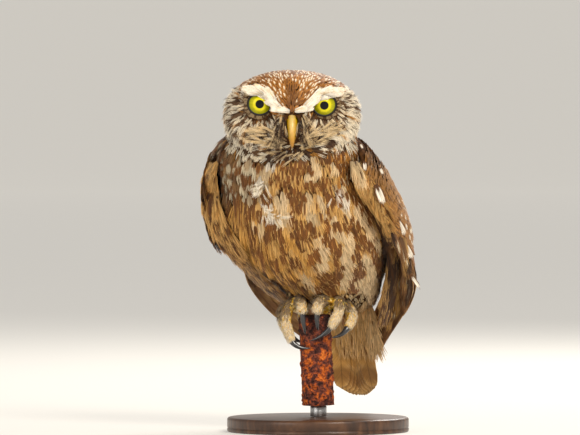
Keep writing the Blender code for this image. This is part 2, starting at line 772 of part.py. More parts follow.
class TailSheet:
    """The tail's flat sheet. u runs from root to tip and v across it, and lift rises towards the back."""

    def __init__(self):
        self.length = (TAIL_TIP - TAIL_ROOT).length
        self.down = (TAIL_TIP - TAIL_ROOT).normalized()
        self.side = (Vector((1, 0, 0)) - self.down * self.down.x).normalized()
        self.back = self.side.cross(-self.down)
        if self.back.y < 0:
            self.back = -self.back

    def __call__(self, u, v, lift):
        across = (v - 0.5) * self.arc(u)
        dish = -0.012 * across * across
        point = TAIL_ROOT + self.down * self.length * u + self.side * across + self.back * (lift + dish)
        return body_point(*point)

    def arc(self, u):
        return 60.0


def tail_vanes(sheet):
    """Twelve tail feathers, the middle pair on top, with coverts over and under their roots."""
    vanes = []
    pairs = TAIL_FEATHERS // 2
    for side in (-1, 1):
        for pair in range(pairs):
            t = pair / (pairs - 1)
            root_v = 0.5 + side * (0.4 + TAIL_HALF_ROOT * t) / sheet.arc(0)
            tip_v = 0.5 + side * (0.7 + TAIL_HALF_TIP * t) / sheet.arc(0)
            tip_u = 1.0 - TAIL_ROUNDING * t * t / sheet.length
            lift = 1.5 - TAIL_STEP * pair - (0.2 if side > 0 else 0.0)
            vanes.append(vane(sheet, (-0.06, root_v), (tip_u, tip_v), TAIL_FEATHER_WIDTH, lift,
                              (1.6, TAIL_THICK), 0.0))
    for count, under in ((UNDERTAIL_COVERTS, True), (UPPERTAIL_COVERTS, False)):
        for i in range(count):
            t = 2 * i / (count - 1) - 1
            reach = (0.60 if under else 0.36) - 0.16 * t * t
            spread = 12.0 if under else 8.0
            lift = (-0.6 - 0.3 * (1 - abs(t)) - 1.2) if under else 3.0 + 0.3 * (1 - abs(t))
            vanes.append(vane(sheet, (-0.08, 0.5 + 0.6 * spread * t / 60), (reach, 0.5 + spread * t / 60),
                              10.5, lift, (2.4, 1.5), 0.0))
    return vanes


def tail_core(sheet):
    """The fleshy root that holds every tail feather."""
    rings = []
    for u, half, thick in ((-0.13, 6.0, 4.0), (0.0, 13.0, 6.2), (0.14, 13.5, 5.6), (0.28, 10.0, 3.0)):
        ring = []
        for k in range(14):
            turn = 2 * math.pi * k / 14
            ring.append(sheet(u, 0.5 + half * math.cos(turn) / 60, thick * math.sin(turn) - 0.4))
        rings.append(ring)
    return loft(rings)


def tail_pieces():
    sheet = TailSheet()
    UNEVEN.seed(UNEVEN_SEED)
    return [tail_core(sheet), *tail_vanes(sheet)]


# Legs, feet and claws


def leg_shape(name):
    """The feathered leg, from its socket in the belly down beside the rod."""
    centres, radii = [], []
    for i in range(6):
        x, y, z, radius = along(LEG_STATIONS[name], i / 5)
        centres.append(rod_point(x, y, z))
        radii.append(radius)
    return tube(centres, radii, 12)


def toe_tube(path):
    rows = [rod_point(*p) for p in path]
    radii = [(r,) for r in TOE_RADII]
    places = [i / TOE_STEPS for i in range(TOE_STEPS + 1)]
    centres = [Vector(along([tuple(p) for p in rows], t)) for t in places]
    return tube(centres, [along(radii, t)[0] for t in places], TOE_SIDES)


def ball(centre, radii, rows=6, sides=10):
    rings = []
    for row in range(1, rows):
        turn = math.pi * row / rows
        rings.append([
            centre
            + Vector((
                radii[0] * math.sin(turn) * math.cos(2 * math.pi * k / sides),
                radii[1] * math.sin(turn) * math.sin(2 * math.pi * k / sides),
                radii[2] * math.cos(turn),
            ))
            for k in range(sides)
        ])
    return loft(rings)


def foot_pieces(name, side):
    """The foot: four toes that meet in the sole and wrap over the rod's end."""
    toes = [toe_tube(toe["path"]) for key, toe in TOES.items() if key.startswith(name)]
    return [ball(rod_point(side * 9.2, 1.0, 6.0), (5.6, 5.6, 4.4)), *toes]


def claw_shape(toe):
    """A curved claw that starts a gap beyond the toe's end and tapers to a blunt point."""
    start, bend, tip = (rod_point(*p) for p in toe["claw"])
    centres, radii = [], []
    for i in range(CLAW_STEPS + 1):
        t = i / CLAW_STEPS
        centres.append(start * (1 - t) ** 2 + bend * 2 * t * (1 - t) + tip * t * t)
        radii.append(CLAW_RADIUS * (1 - t) ** 0.75 + 0.22)
    return tube(centres, radii, CLAW_SIDES)


# The whole model


def make_head_group(clear):
    """The head with its lids, eyes and bill, and the cutters that keep neighbours clear of it."""
    bases = [skull(), lid_ring(-1), lid_ring(1)]
    head = fuse(bases, "head", "plumage_face")
    clear["skull"] = clearance("skull", bases[:1])
    for name, side in (("eye_left", 1), ("eye_right", -1)):
        add_object(name, *eye_shape(side), "iris_yellow")
        clear[name] = clearance(name, [eye_shape(side)])
    make_upper_bill()
    clear["bill_upper"] = clearance("bill_upper", [upper_bill()])
    lower = cut(add_object("bill_lower", *lower_bill(), "bill_horn"), [clear["bill_upper"]])
    clear["bill_lower"] = clearance("bill_lower", [lower_bill()])
    cut(head, [clear[name] for name in ("eye_left", "eye_right", "bill_upper", "bill_lower")])
    return lower


def make_feet(clear):
    """Feet on the rod, each toe ending a gap short of its claw, and the legs that come down to them."""
    for key, toe in TOES.items():
        side, digit = key.split("_")
        add_object(f"claw_{side}_{digit}", *claw_shape(toe), "claw_horn")
        clear[key] = clearance(key, [claw_shape(toe)])
    for name, side in (("left", 1), ("right", -1)):
        foot = fuse(foot_pieces(name, side), f"foot_{name}", "plumage_buff")
        cut(foot, [clear["torso"], clear["perch"]])
        cut(foot, [clear[key] for key in TOES if key.startswith(name)])
        clear[f"foot_{name}"] = clearance(f"foot_{name}", foot_pieces(name, side))
        leg = add_object(f"leg_{name}", *leg_shape(name), "plumage_buff")
        cut(leg, [clear[f"foot_{name}"], clear["perch"]])


def main():
    clear_scene()
    clear = {}
    make_stand()
    make_perch()
    rod = [(PERCH_RADIUS + GAP, -60.0), (PERCH_RADIUS + GAP, GAP)]
    clear["perch"] = turned("perch_clear", rod, "rusty_iron", 26, rod_point)
    clear["torso"] = clearance("torso", [torso_shape()])
    legs = [clearance(f"leg_{name}", [leg_shape(name)]) for name in ("left", "right")]
    torso = cut(add_object("torso", *torso_shape(), "plumage_buff"), legs)
    make_head_group(clear)
    cut(add_object("neck", *neck_shape(), "plumage_buff"), [clear["torso"], clear["skull"]])
    clear["neck"] = clearance("neck", [neck_shape()])
    tail = fuse(tail_pieces(), "tail", "plumage_brown")
    cut(tail, [clear["torso"]])
    clear["tail"] = clearance("tail", tail_pieces())
    for name in ("left", "right"):
        wing = fuse(wing_pieces(name), f"wing_{name}", "plumage_brown")
        cut(wing, [clear[key] for key in ("torso", "neck", "skull", "tail")])
    make_feet(clear)
    for cutter in [*clear.values(), *legs]:
        bpy.data.objects.remove(cutter)


main()
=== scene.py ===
# %% [markdown]
# # A little owl on the end of a rusty rod
# This notebook dresses the solids of a life-size little owl model. The solids give the pose and every
# size. Here the bird gets its eyes, its bill, its claws and some seventeen thousand feathers, and the rod
# gets its rust. Each step says what the piece is on the real bird, how it could be made, and why it is
# made this way. Lengths in the cells are millimetres until a mesh is made, because a bird this small is
# measured in millimetres, and Blender's own unit is the metre.

# %% Load the solids
import math
import random

import bmesh
import bpy
import numpy as np
from mathutils import Matrix, Vector, noise
from mathutils.bvhtree import BVHTree
from mathutils.kdtree import KDTree

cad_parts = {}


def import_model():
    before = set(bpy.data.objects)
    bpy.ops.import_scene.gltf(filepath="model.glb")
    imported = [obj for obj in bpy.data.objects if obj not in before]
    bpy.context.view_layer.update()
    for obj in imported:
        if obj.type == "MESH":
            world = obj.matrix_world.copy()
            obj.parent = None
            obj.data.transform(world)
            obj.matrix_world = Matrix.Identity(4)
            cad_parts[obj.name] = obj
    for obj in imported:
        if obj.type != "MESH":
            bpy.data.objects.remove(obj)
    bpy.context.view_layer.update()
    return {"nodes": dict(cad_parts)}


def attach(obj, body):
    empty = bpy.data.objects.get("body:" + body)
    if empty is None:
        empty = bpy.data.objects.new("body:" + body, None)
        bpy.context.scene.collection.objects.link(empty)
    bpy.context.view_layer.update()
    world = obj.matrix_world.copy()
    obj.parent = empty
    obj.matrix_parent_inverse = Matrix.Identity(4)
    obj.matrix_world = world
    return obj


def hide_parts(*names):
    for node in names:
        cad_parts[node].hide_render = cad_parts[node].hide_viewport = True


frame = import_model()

MM = 0.001
print("the solids:", sorted(frame["nodes"]))

# %% [markdown]
# ## Helpers for nodes and colours
# Every material and every Geometry Nodes tree below is a set of nodes joined by links. They could be
# added one call at a time, but a small helper that adds a node, sets it and links it keeps each recipe
# readable, and the few below it name the kinds used most. Colours are written as the sRGB hex values that
# a paint program shows, and Blender works in linear light, so one function turns the first into the second.


# %% Node and colour helpers
def colour(code):
    """Linear red, green, blue and alpha from an sRGB hex value."""
    parts = [int(code[i:i + 2], 16) / 255 for i in (1, 3, 5)]
    return [p / 12.92 if p <= 0.04045 else ((p + 0.055) / 1.055) ** 2.4 for p in parts] + [1.0]


def add(tree, kind, inputs=None, out=0, stops=None, **settings):
    """Adds a node, sets it, fills or links its inputs, and gives back one of its outputs."""
    made = tree.nodes.new(kind)
    for name, value in settings.items():
        setattr(made, name, value)
    if stops:
        ramp = made.color_ramp
        while len(ramp.elements) < len(stops):
            ramp.elements.new(1.0)
        for element, (place, tint) in zip(ramp.elements, stops):
            element.position, element.color = place, colour(tint)
    for name, value in (inputs or {}).items():
        if isinstance(value, bpy.types.NodeSocket):
            tree.links.new(value, made.inputs[name])
        else:
            made.inputs[name].default_value = value
    return made.outputs[out] if made.outputs else made


def maths(tree, operation, *values):
    """A sum of one to three numbers."""
    return add(tree, "ShaderNodeMath", dict(enumerate(values)), operation=operation)


def remap(tree, value, low=0.0, high=1.0, first=0.0, last=1.0):
    """A value's range from low to high, stretched to run from first to last."""
    ends = {"From Min": low, "From Max": high, "To Min": first, "To Max": last}
    return add(tree, "ShaderNodeMapRange", {"Value": value, **ends})


def mix(tree, share, under, over, **settings):
    """A colour with a share of another over it."""
    return add(tree, "ShaderNodeMix", {0: share, 6: under, 7: over}, out=2, data_type="RGBA", **settings)


def lit(tree, tone, light):
    """A colour made lighter or darker."""
    return add(tree, "ShaderNodeVectorMath", {0: tone, "Scale": light}, operation="SCALE")


def apart(tree, vector):
    """The three numbers of a vector."""
    parts = tree.nodes.new("ShaderNodeSeparateXYZ")
    tree.links.new(vector, parts.inputs[0])
    return parts.outputs


def new_material(name):
    """An empty material and its tree."""
    made = bpy.data.materials.new(name)
    made.use_nodes = True
    made.node_tree.nodes.clear()
    return made, made.node_tree


def surface(tree, inputs):
    """Ends a material with one shader."""
    shine = add(tree, "ShaderNodeBsdfPrincipled", inputs)
    add(tree, "ShaderNodeOutputMaterial", {"Surface": shine})


print("cream on the face in linear light:", [round(c, 3) for c in colour("#e8dcc6")])

# %% [markdown]
# ## Where the camera and the photograph agree
# The photograph was taken through a long lens from far away, so near and far parts of the bird have the
# same scale in it. The camera here stands four metres off with a 451 mm lens, which makes one step of the
# picture 0.55 mm on the bird. It stands a hand's width above the floor's level. Where a marking of the
# plumage is placed from the photograph, these two functions turn a place in the picture into
# millimetres on the model and back, and the feather that carries the mark is still rooted in the skin.

# %% Camera
STEP = 0.55
CENTRE_COLUMN, FLOOR_ROW, FLOOR_HIGH = 318.0, 417.0, 8.0
AIM = Vector((-15.4, 0.0, 117.7)) * MM
DISTANCE, ELEVATION = 4.0, math.radians(1.2)


def place_of(column, row):
    """The front view's x and z in millimetres for a column and row of the photograph."""
    return (column - CENTRE_COLUMN) * STEP, FLOOR_HIGH + (FLOOR_ROW - row) * STEP


def picture_of(points):
    """The photograph's columns and rows for points in millimetres."""
    return CENTRE_COLUMN + points[:, 0] / STEP, FLOOR_ROW - (points[:, 2] - FLOOR_HIGH) / STEP


eye = bpy.data.objects.new("camera", bpy.data.cameras.new("camera"))
bpy.context.scene.collection.objects.link(eye)
back = Vector((0, -math.cos(ELEVATION), math.sin(ELEVATION)))
eye.location = AIM + back * DISTANCE
eye.rotation_euler = (-back).to_track_quat("-Z", "Y").to_euler()
eye.data.sensor_width = 36.0
eye.data.lens = 36.0 * DISTANCE / (580 * STEP * MM)
eye.data.clip_end = 50.0
bpy.context.scene.camera = eye
print("lens in millimetres:", round(eye.data.lens, 1))

# %% [markdown]
# ## Floor and light
# The studio is a round bowl of pale cloth, as a photographer's light tent is: flat under the stand and
# curving up all round it, so that the bird can be looked at from every side with no line behind it. The cloth
# glows a little, as one lit from outside does. The light is a large warm panel high on the right, as the low
# sun stands in the photograph, a weaker one on the left, and a dim one behind that lifts the outline of the
# feathers.


# %% Studio
def build(name, points, faces, finish=None, smooth=True):
    """A mesh object from points in millimetres."""
    mesh = bpy.data.meshes.new(name)
    mesh.from_pydata([tuple(float(c) * MM for c in p) for p in points], [], faces)
    mesh.update()
    if smooth:
        mesh.shade_smooth()
    made = bpy.data.objects.new(name, mesh)
    bpy.context.scene.collection.objects.link(made)
    if finish:
        made.data.materials.append(finish)
    return made


def outward(thing):
    """Turns every face of a closed mesh outwards, after its doubles are merged."""
    shell = bmesh.new()
    shell.from_mesh(thing.data)
    bmesh.ops.remove_doubles(shell, verts=shell.verts[:], dist=1e-7)
    bmesh.ops.recalc_face_normals(shell, faces=shell.faces[:])
    shell.to_mesh(thing.data)
    shell.free()
    return thing


# White cotton cloth, matt, lit from outside
cloth, tree = new_material("tent_cloth")
surface(tree, {"Base Color": colour("#b0aea8"), "Roughness": 0.9, "Emission Color": colour("#fbf6ee"),
    "Emission Strength": 0.42})

TENT_FLOOR, TENT_BEND, TENT_WALL, TENT_SIDES = 7600.0, 1400.0, 1200.0, 72
profile = [(r, 0.0) for r in (60.0, 300.0, 1200.0, TENT_FLOOR)]
profile += [(TENT_FLOOR + TENT_BEND * math.sin(a), TENT_BEND * (1 - math.cos(a)))
    for a in np.linspace(0.1, math.pi / 2, 14)]
profile.append((TENT_FLOOR + TENT_BEND, TENT_BEND + TENT_WALL))
around = [2 * math.pi * k / TENT_SIDES for k in range(TENT_SIDES)]
points = [(0, 0, 0)] + [(r * math.cos(a), r * math.sin(a), z) for r, z in profile for a in around]
faces = [(0, 1 + k, 1 + (k + 1) % TENT_SIDES) for k in range(TENT_SIDES)]
for ring in range(len(profile) - 1):
    for k in range(TENT_SIDES):
        first, after = 1 + ring * TENT_SIDES, (k + 1) % TENT_SIDES
        faces.append((first + k, first + TENT_SIDES + k, first + TENT_SIDES + after, first + after))
tent = build("light_tent", points, faces, cloth)

for name, place, size, power, tint in (
    ("key_panel", (0.75, -1.5, 1.25), 0.6, 30.0, "#fff6ea"),
    ("fill_panel", (-1.3, -1.4, 0.5), 1.0, 10.0, "#fff8f0"),
    ("rim_panel", (0.4, 0.9, 0.9), 0.7, 16.0, "#fffaf4"),
):
    lamp = bpy.data.lights.new(name, "AREA")
    lamp.size, lamp.energy, lamp.color = size, power, colour(tint)[:3]
    panel = bpy.data.objects.new(name, lamp)
    panel.location = place
    panel.rotation_euler = (Vector(place) - AIM).to_track_quat("Z", "Y").to_euler()
    bpy.context.scene.collection.objects.link(panel)

sky = bpy.data.worlds.new("studio_room")
sky.use_nodes = True
sky.node_tree.nodes["Background"].inputs["Color"].default_value = colour("#f4f3f0")
sky.node_tree.nodes["Background"].inputs["Strength"].default_value = 0.38
bpy.context.scene.world = sky
bpy.context.scene.view_settings.view_transform = "Standard"
print("studio ready")

# %% [markdown]
# ## The pose, in three small frames
# The bird's body is turned a little to its own right and leans forward, its head faces straight ahead and
# is bowed, and its feet hold the rod. Each has a frame of its own, in which its sizes are simple numbers:
# x to the bird's left, y backwards, z up. The numbers repeat those of the solids, so that every feather
# lies where its solid does.

# %% Frames of the body, the head and the rod
BODY_ORIGIN = Vector((-1.3, 0.0, 64.1))
HEAD_CENTRE = Vector((-14.3, -29.3, 175.2))
BODY_TURN = Matrix.Rotation(math.radians(-20.0), 3, "Z")
HEAD_TURN = Matrix.Rotation(math.radians(9.0), 3, "X")
ROD_TOP = Vector((-2.0, 0.0, 64.1))
ROD_FOOT = Vector((0.25, 0.0, 14.3))
ROD_RADIUS = 9.1


def body_point(x, y, z):
    return BODY_ORIGIN + BODY_TURN @ Vector((x, y, z))


def head_point(x, y, z):
    return HEAD_CENTRE + HEAD_TURN @ Vector((x, y, z))


def world(local, turn, origin):
    """Points of a frame, turned and moved to where the frame stands."""
    return local @ np.array(turn).T + np.array(origin)


rod_up = (ROD_TOP - ROD_FOOT).normalized()
rod_side = rod_up.to_track_quat("Z", "Y").to_matrix() @ Vector((1, 0, 0))
ROD_TURN = rod_up.to_track_quat("Z", "Y").to_matrix() @ Matrix.Rotation(-math.atan2(rod_side.y, rod_side.x),
    3, "Z")


def rod_point(x, y, z):
    return ROD_TOP + ROD_TURN @ Vector((x, y, z))


def along(stations, place):
    """The smooth value between rows of numbers, from 0 at the first row to 1 at the last."""
    last = len(stations) - 1
    at = min(max(place, 0.0), 1.0) * last
    low = min(int(at), last - 1)
    t = at - low
    before, start, end, after = (stations[min(max(low + k, 0), last)] for k in (-1, 0, 1, 2))
    return [
        0.5 * (2 * b + (c - a) * t + (2 * a - 5 * b + 4 * c - d) * t**2 + (3 * b - a - 3 * c + d) * t**3)
        for a, b, c, d in zip(before, start, end, after)
    ]


print("the rod leans", round(math.degrees(rod_up.angle(Vector((0, 0, 1)))), 1), "degrees")

# %% [markdown]
# ## Wood and steel of the stand
# A museum sets such a model on a small turned base. It is walnut: brown heartwood with dark grain lines
# 2 to 4 mm apart, oiled, so it has a soft shine rather than a hard gloss. The short rod that carries the
# perch is turned steel, whose fine lathe marks run round it. Both could keep their solids, but those are
# drawn with few sides, so each is turned again from the same profile with a small round at every edge.


# %% Turned pieces
def lathe(name, profile, sides, finish, point=None):
    """A closed turned piece from radii and heights, upright or along the rod."""
    points, faces = [], []
    for radius, high in profile:
        for k in range(sides):
            turn = 2 * math.pi * k / sides
            at = (radius * math.cos(turn), radius * math.sin(turn), high)
            points.append(point(*at) if point else at)
    for row in range(len(profile) - 1):
        for k in range(sides):
            a, b = row * sides + k, row * sides + (k + 1) % sides
            faces.append((a, b, b + sides, a + sides))
    faces.append(tuple(range(sides))[::-1])
    faces.append(tuple(range((len(profile) - 1) * sides, len(profile) * sides)))
    return outward(build(name, points, faces, finish))


def finish_piece(thing, slot, *nodes):
    """Lets a piece move with the model, hides the solids that it stands for, and prints its triangles. The slot is not
    used.
    """
    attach(thing, "root")
    if nodes:
        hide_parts(*nodes)
    print(thing.name, "has", sum(len(p.vertices) - 2 for p in thing.data.polygons), "triangles")


# Walnut heartwood, turned and oiled: dark even brown with a soft shine
walnut, tree = new_material("oiled_walnut")
place = add(tree, "ShaderNodeTexCoord", out="Object")
grain_place = add(tree, "ShaderNodeMapping", {"Vector": place, "Scale": (60, 420, 60)})
grain = add(tree, "ShaderNodeTexNoise",
    {"Vector": grain_place, "Scale": 1.0, "Detail": 6.0, "Distortion": 0.6})
tone = add(tree, "ShaderNodeValToRGB", {"Fac": grain},
    stops=[(0.3, "#2b1a10"), (0.5, "#4a2e1b"), (0.72, "#6a472b")])
dip = add(tree, "ShaderNodeBump", {"Height": grain, "Strength": 0.12, "Distance": 0.0003})
surface(tree, {"Base Color": tone, "Roughness": 0.42, "Normal": dip, "Coat Weight": 0.15})

# Bright turned steel: cool grey, with lathe marks 0.3 mm apart, drawn as wide as they need to show
steel, tree = new_material("turned_steel")
place = add(tree, "ShaderNodeTexCoord", out="Object")
marks = add(tree, "ShaderNodeTexWave", {"Vector": place, "Scale": 900.0, "Distortion": 0.5}, out="Fac",
            bands_direction="Z", wave_type="BANDS")
dip = add(tree, "ShaderNodeBump", {"Height": marks, "Strength": 0.25, "Distance": 0.0001})
surface(tree, {"Base Color": colour("#b9bbbd"), "Metallic": 1.0, "Roughness": 0.32, "Normal": dip})

BASE_RADIUS, BASE_THICK, BASE_EDGE = 50.0, 8.0, 1.5
corner = [(BASE_RADIUS - BASE_EDGE * (1 - math.cos(a)), BASE_THICK - BASE_EDGE * (1 - math.sin(a)))
          for a in np.linspace(0, math.pi / 2, 7)]
foot_edge = [(BASE_RADIUS - 0.6, 0.0), (BASE_RADIUS, 0.6), (BASE_RADIUS, 1.9), (BASE_RADIUS - 0.4, 2.1),
             (BASE_RADIUS - 0.4, 2.4), (BASE_RADIUS, 2.6)]
base = lathe("walnut_base", foot_edge + corner, 160, walnut)
finish_piece(base, "stand_wood", "stand_base")
collar = [(4.2, 8.3), (4.5, 8.6), (4.5, 13.7), (4.2, 14.0)]
stem = lathe("steel_stem", collar, 64, steel, lambda x, y, z: (x + ROD_FOOT.x, y, z))
finish_piece(stem, "stand_steel", "stand_rod")

# %% [markdown]
# ## The rusty rod
# The owl sits on the cut end of an old iron bar. Years of weather have turned its skin to scale that lifts
# in flakes: bright orange where fresh rust shows, dark brown and purple where the old scale still sticks.
# A picture of rust could be wrapped round it, but real scale has height. So the mesh itself is raised and
# pitted by noise, and the material adds the finer pits and takes its colours from the same kind of noise.

# %% Rod of rusty iron
# Weathered mild steel: dry orange powder between dark scale, with no metal shine left
rust, tree = new_material("flaking_rust")
place = add(tree, "ShaderNodeTexCoord", out="Object")
patches = add(tree, "ShaderNodeTexNoise", {"Vector": place, "Scale": 230.0, "Detail": 9.0, "Roughness": 0.7,
    "Distortion": 0.5})
height = apart(tree, place)
# Painted shade: the rust shifts to its darker colours towards the top of the rod, under the feet
shade_under_feet = remap(tree, height[2], low=0.045, high=0.066, last=-0.09)
patches = maths(tree, "ADD", patches, shade_under_feet)
scale = add(tree, "ShaderNodeTexVoronoi", {"Vector": place, "Scale": 520.0, "Randomness": 1.0},
    out="Distance")
tone = add(tree, "ShaderNodeValToRGB", {"Fac": patches}, stops=[
    (0.36, "#2a1514"), (0.44, "#522a22"), (0.50, "#7a4030"), (0.53, "#a24c20"), (0.60, "#cc6620"),
    (0.68, "#e88a3c")])
speck = add(tree, "ShaderNodeTexNoise", {"Vector": place, "Scale": 900.0, "Detail": 4.0})
darker = add(tree, "ShaderNodeValToRGB", {"Fac": speck}, stops=[(0.34, "#6e5048"), (0.5, "#ffffff")])
mixed = mix(tree, 0.85, tone, darker, blend_type="MULTIPLY")
height = maths(tree, "ADD", patches, scale)
height = maths(tree, "ADD", height, speck)
dip = add(tree, "ShaderNodeBump", {"Height": height, "Strength": 0.9, "Distance": 0.0007})
surface(tree, {"Base Color": mixed, "Roughness": 0.86, "Normal": dip, "Specular IOR Level": 0.3})

ROD_SIDES, ROD_ROWS = 150, 200
length = (ROD_TOP - ROD_FOOT).length
points, faces = [], []
for row in range(ROD_ROWS + 1):
    down = length * row / ROD_ROWS
    for k in range(ROD_SIDES):
        turn = 2 * math.pi * k / ROD_SIDES
        at = Vector((math.cos(turn) * ROD_RADIUS, math.sin(turn) * ROD_RADIUS, -down))
        flake = noise.turbulence(at * 0.32, 4, False)
        flake = min(1.0, max(-1.0, flake * 3.2 - 1.5)) * 0.42
        pits = noise.noise(at * 1.7) * 0.12
        edge = 0.9 * max(0.0, 1 - down / 0.9) ** 1.6
        radius = ROD_RADIUS + flake + pits - edge
        at.x, at.y = math.cos(turn) * radius, math.sin(turn) * radius
        top = rod_point(*at)
        top.z = max(top.z, ROD_FOOT.z)
        points.append(top)
for row in range(ROD_ROWS):
    for k in range(ROD_SIDES):
        a, b = row * ROD_SIDES + k, row * ROD_SIDES + (k + 1) % ROD_SIDES
        faces.append((a, b, b + ROD_SIDES, a + ROD_SIDES))
for start, turn in ((0, -1), (ROD_ROWS * ROD_SIDES, 1)):
    middle = len(points)
    points.append(rod_point(0, 0, 0) if start == 0 else ROD_FOOT)
    faces += [(start + k, start + (k + 1) % ROD_SIDES, middle)[::turn] for k in range(ROD_SIDES)]
rod = outward(build("rusty_rod", points, faces, rust))
finish_piece(rod, "rusty_iron", "perch_rod")

# %% [markdown]
# ## The skin under the feathers
# A bird is much thinner than it looks: the feathers add several millimetres all round. The solids of the
# head, neck, torso and legs have the outline of the dressed bird, and they meet with thin gaps. Copies of
# them are merged, joined by a voxel remesh that closes the gaps, smoothed, and drawn in by the depth of the
# coat. What is left is one closed skin without a seam, dark as the shadow between feathers, that every
# feather is rooted in.

# %% One closed skin
FLESH = ("head", "neck", "torso", "leg_left", "leg_right")
VOXEL = 1.25


def baked(thing, name):
    """A plain mesh object from an object with live modifiers, which goes."""
    graph = bpy.context.evaluated_depsgraph_get()
    mesh = bpy.data.meshes.new_from_object(thing.evaluated_get(graph))
    bpy.data.objects.remove(thing)
    mesh.name = name
    made = bpy.data.objects.new(name, mesh)
    bpy.context.scene.collection.objects.link(made)
    return made


def joined_skin(name, nodes, grow, voxel, smooth):
    """One closed surface over copies of several solids."""
    shell = bmesh.new()
    for node in nodes:
        shell.from_mesh(frame["nodes"][node].data)
    bmesh.ops.remove_doubles(shell, verts=shell.verts[:], dist=1e-6)
    shell.normal_update()
    moved = [corner.co + corner.normal * grow * MM for corner in shell.verts]
    for corner, at in zip(shell.verts, moved):
        corner.co = at
    mesh = bpy.data.meshes.new(name)
    shell.to_mesh(mesh)
    shell.free()
    thing = bpy.data.objects.new(name + "_solid", mesh)
    bpy.context.scene.collection.objects.link(thing)
    remesh = thing.modifiers.new("remesh", "REMESH")
    remesh.mode, remesh.voxel_size = "VOXEL", voxel * MM
    soften = thing.modifiers.new("soften", "SMOOTH")
    soften.factor, soften.iterations = 0.5, smooth
    return baked(thing, name)


def corners_of(mesh):
    """Points and outward directions of a mesh's vertices, in millimetres."""
    at = np.empty(len(mesh.vertices) * 3)
    out = np.empty(len(mesh.vertices) * 3)
    mesh.vertices.foreach_get("co", at)
    mesh.vertices.foreach_get("normal", out)
    return at.reshape(-1, 3) / MM, out.reshape(-1, 3)


def ramp(value, low, high):
    """0 below low, 1 above high and an even S between, for numbers or arrays."""
    t = np.clip((value - low) / (high - low), 0.0, 1.0)
    return t * t * (3 - 2 * t)


skin = joined_skin("owl_skin", FLESH, 0.3, VOXEL, 10)
at, out = corners_of(skin.data)
head_frame = np.array(HEAD_TURN)
face = ramp(at[:, 2], 150, 158) * ramp(-at[:, 1], 30, 42)
low_leg = 1 - ramp(at[:, 2], 72, 82)
head_part = ramp(at[:, 2], 150, 160)
coat_depth = 2.9 - 1.1 * head_part - 0.3 * face - 1.2 * low_leg
at -= out * coat_depth[:, None]
skin.data.vertices.foreach_set("co", (at * MM).ravel())
skin.data.update()
skin.data.shade_smooth()
print("skin faces:", len(skin.data.polygons))

# %% [markdown]
# ## Which way the feathers lie
# Feathers lie like roof tiles, from the bill back over the crown, down the neck and along the body to the
# tail and the feet. On an owl's face they stand like spokes round each eye, and stiff bristles sweep down
# and out from the bill. Combing by hand would do it, but a rule is simpler: on the body the lie runs down
# the sections that the torso's solid is drawn through, and on the head it is a sum of a few directions.

# %% The lie of the feathers
EYE_RADIUS, EYE_SIDEWAYS, EYE_FORWARD, EYE_HIGH = 8.5, 17.4, -16.4, 8.4
TORSO_ROWS = [
    (3, 43, 4, 11, 8, 42), (1, 34, 12.5, 25, 18.5, 42), (1, 21, 26, 33, 28, 42),
    (-1.5, 8, 39.5, 40, 35, 42),
    (-5, -5, 53, 45, 39, 41), (-7, -15, 67, 44, 37.5, 36), (-7, -22, 80, 41, 32.5, 28),
    (-7, -27, 92, 41, 29.5, 20), (-4.5, -30, 103, 34, 25, 12),
]
LEG_ROWS = (
    [(-10, 6, 24, 8), (-9.5, 5, 16, 7.6), (-9, 3, 9, 6.4), (-9, 1, 3, 4.4)],
    [(16, 6, 24, 9), (15, 3, 14, 9), (13.6, 0, 6, 7.4), (13.4, -2, -2.5, 4.2)],
)


def torso_point(place, turn):
    """A point of the body's outline at a place from tail to neck and an angle round it."""
    x, y, z, half_width, half_depth, lean = along(TORSO_ROWS, place)
    lean = math.radians(lean)
    behind = Vector((0, math.cos(lean), math.sin(lean)))
    return body_point(*(Vector((x + half_width * math.cos(turn), y, z)) + behind * half_depth * math.sin(turn)))


lie_points, lie_ways, lie_uv = [], [], []
for i in range(61):
    for k in range(72):
        turn = 2 * math.pi * k / 72
        here, below = torso_point(i / 60, turn), torso_point(i / 60 - 0.02, turn)
        if i < 2:
            below, here = here, torso_point(i / 60 + 0.02, turn)
        lie_points.append(torso_point(i / 60, turn))
        lie_ways.append((below - here).normalized())
        lie_uv.append(((turn / (2 * math.pi) + 0.25) % 1.0, i / 60))
for side, rows in enumerate(LEG_ROWS):
    for i in range(10):
        x, y, z, radius = along(rows, i / 9)
        ahead = Vector(along(rows, i / 9 + 0.05)[:3]) - Vector(along(rows, i / 9 - 0.05)[:3])
        for k in range(10):
            turn = 2 * math.pi * k / 10
            lie_points.append(rod_point(x + radius * math.cos(turn), y + radius * math.sin(turn), z))
            lie_ways.append((ROD_TURN @ ahead).normalized())
            lie_uv.append((0.1 + 0.5 * side + 0.03 * k, 0.02 + 0.1 * i / 9))
nearest = KDTree(len(lie_points))
for i, p in enumerate(lie_points):
    nearest.insert(p, i)
nearest.balance()


def brow_line(x):
    """Height of the brow's line in the head's frame for a distance from the middle."""
    x = np.abs(x)
    return np.where(x < 19.8, -12.5 + 2.9 * x - 0.0733 * x**2, 16.2 - 1.1 * np.maximum(0.0, x - 24))


